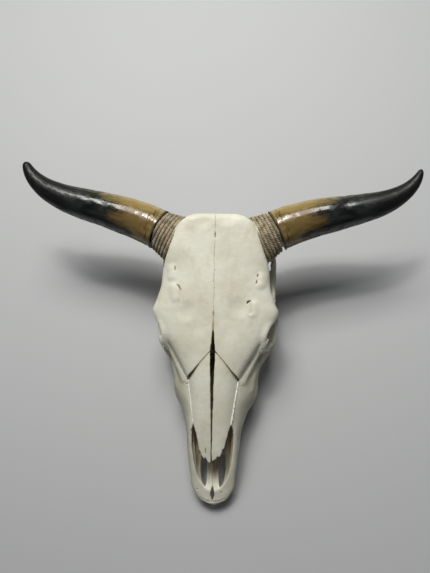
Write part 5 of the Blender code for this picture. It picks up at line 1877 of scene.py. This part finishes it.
class StageSettings(bpy.types.PropertyGroup):
    """The camera's view, the lamps and the floor."""
    tilt: angle_setting("Tilt", "Lean of the view from straight down", 12.5)
    yaw: angle_setting("Yaw", "Turn of the view to the animal's left", 5.5)
    roll: angle_setting("Roll", "Turn of the camera about its view", 2.5)
    distance: size_setting("Distance", "From the camera to the point that it looks at", 0.728)
    look_at: FloatVectorProperty(name="Look at", description="Point in the middle of the view",
                                 default=(0.0, 0.08, 0.1734), size=3, subtype="XYZ")
    floor_size: size_setting("Floor size", "Side of the square floor", 8.0)
    lamp_power: number_setting("Long lamp", "Power of the long lamp beyond the poll", 8.0, unit="POWER")
    panel_power: number_setting("Soft panel", "Power of the soft panel above", 51.0, unit="POWER")
    surround: colour_setting("Surround", "Colour of the even surround", (0.9, 0.95, 1.0))
    surround_power: number_setting("Surround power", "Brightness of the surround", 0.08)


class SkullSettings(bpy.types.PropertyGroup):
    """All the settings of the skull."""
    sizes: PointerProperty(type=SkullSizes)
    colours: PointerProperty(type=SkullColours)
    stage: PointerProperty(type=StageSettings)


# ---- operators ----
SHARED = {}  # materials and groups that more than one operator uses


def shared(name, make, *given):
    """The shared thing of that name, made the first time that it is asked for."""
    if name not in SHARED:
        SHARED[name] = make(*given)
    return SHARED[name]


def finish_groups():
    return shared("mottle", mottle_group), shared("grain", grain_group)


def bone_finish(colours):
    return shared("bone", bone_material, colours, *finish_groups())


class COWSKULL_OT_bones(bpy.types.Operator):
    """Models the fused bones as one body and parts them along the sutures"""
    bl_idname = "cowskull.bones"
    bl_label = "Fused bones"

    def execute(self, context):
        settings = context.scene.cow_skull
        make_bones(settings.sizes, bone_finish(settings.colours))
        return {"FINISHED"}


class COWSKULL_OT_nasal_bones(bpy.types.Operator):
    """Models the two nasal bones with their ragged tips"""
    bl_idname = "cowskull.nasal_bones"
    bl_label = "Nasal bones"

    def execute(self, context):
        settings = context.scene.cow_skull
        make_nasal_bones(settings.sizes, bone_finish(settings.colours))
        return {"FINISHED"}


class COWSKULL_OT_filler(bpy.types.Operator):
    """Runs a bead of white filler along each nasal bone's outer seam"""
    bl_idname = "cowskull.filler"
    bl_label = "Seam filler"

    def execute(self, context):
        settings = context.scene.cow_skull
        make_filler(settings.sizes, filler_material(settings.colours, *finish_groups()))
        return {"FINISHED"}


class COWSKULL_OT_teeth(bpy.types.Operator):
    """Models the cheek teeth with worn chewing faces"""
    bl_idname = "cowskull.teeth"
    bl_label = "Cheek teeth"

    def execute(self, context):
        settings = context.scene.cow_skull
        make_teeth(tooth_material(settings.colours, *finish_groups()))
        return {"FINISHED"}


class COWSKULL_OT_horns(bpy.types.Operator):
    """Models the two polished horn sheaths"""
    bl_idname = "cowskull.horns"
    bl_label = "Horns"

    def execute(self, context):
        settings = context.scene.cow_skull
        make_horns(settings.sizes, horn_material(settings.colours, shared("grain", grain_group)))
        return {"FINISHED"}


class COWSKULL_OT_ropes(bpy.types.Operator):
    """Winds three-strand rope round the horn bases and frays it"""
    bl_idname = "cowskull.ropes"
    bl_label = "Ropes"

    def execute(self, context):
        settings = context.scene.cow_skull
        material = jute_material(settings.colours, shared("mottle", mottle_group))
        make_ropes(settings.sizes, material)
        make_fibres(settings.sizes, material)
        return {"FINISHED"}


class COWSKULL_OT_stage(bpy.types.Operator):
    """Adds the floor, the lamps and the camera"""
    bl_idname = "cowskull.stage"
    bl_label = "Stage"

    def execute(self, context):
        settings = context.scene.cow_skull
        make_stage(settings.stage, settings.colours)
        return {"FINISHED"}


class COWSKULL_PT_panel(bpy.types.Panel):
    """Lists the skull's pieces and settings"""
    bl_idname = "COWSKULL_PT_panel"
    bl_label = "Cow skull"
    bl_space_type = "VIEW_3D"
    bl_region_type = "UI"
    bl_category = "Cow skull"

    def draw(self, context):
        for operator in OPERATORS:
            self.layout.operator(operator.bl_idname)
        settings = context.scene.cow_skull
        for group in (settings.sizes, settings.colours, settings.stage):
            box = self.layout.box()
            for name in group.bl_rna.properties.keys():
                if name not in ("rna_type", "name"):
                    box.prop(group, name)


OPERATORS = (
    COWSKULL_OT_stage,
    COWSKULL_OT_bones,
    COWSKULL_OT_nasal_bones,
    COWSKULL_OT_filler,
    COWSKULL_OT_teeth,
    COWSKULL_OT_horns,
    COWSKULL_OT_ropes,
)
CLASSES = (SkullSizes, SkullColours, StageSettings, SkullSettings, *OPERATORS, COWSKULL_PT_panel)


def register():
    for item in CLASSES:
        bpy.utils.register_class(item)
    bpy.types.Scene.cow_skull = PointerProperty(type=SkullSettings)


def unregister():
    del bpy.types.Scene.cow_skull
    for item in reversed(CLASSES):
        bpy.utils.unregister_class(item)


def main():
    register()
    for operator in OPERATORS:
        family, name = operator.bl_idname.split(".")
        getattr(getattr(bpy.ops, family), name)()


if __name__ == "__main__":
    main()
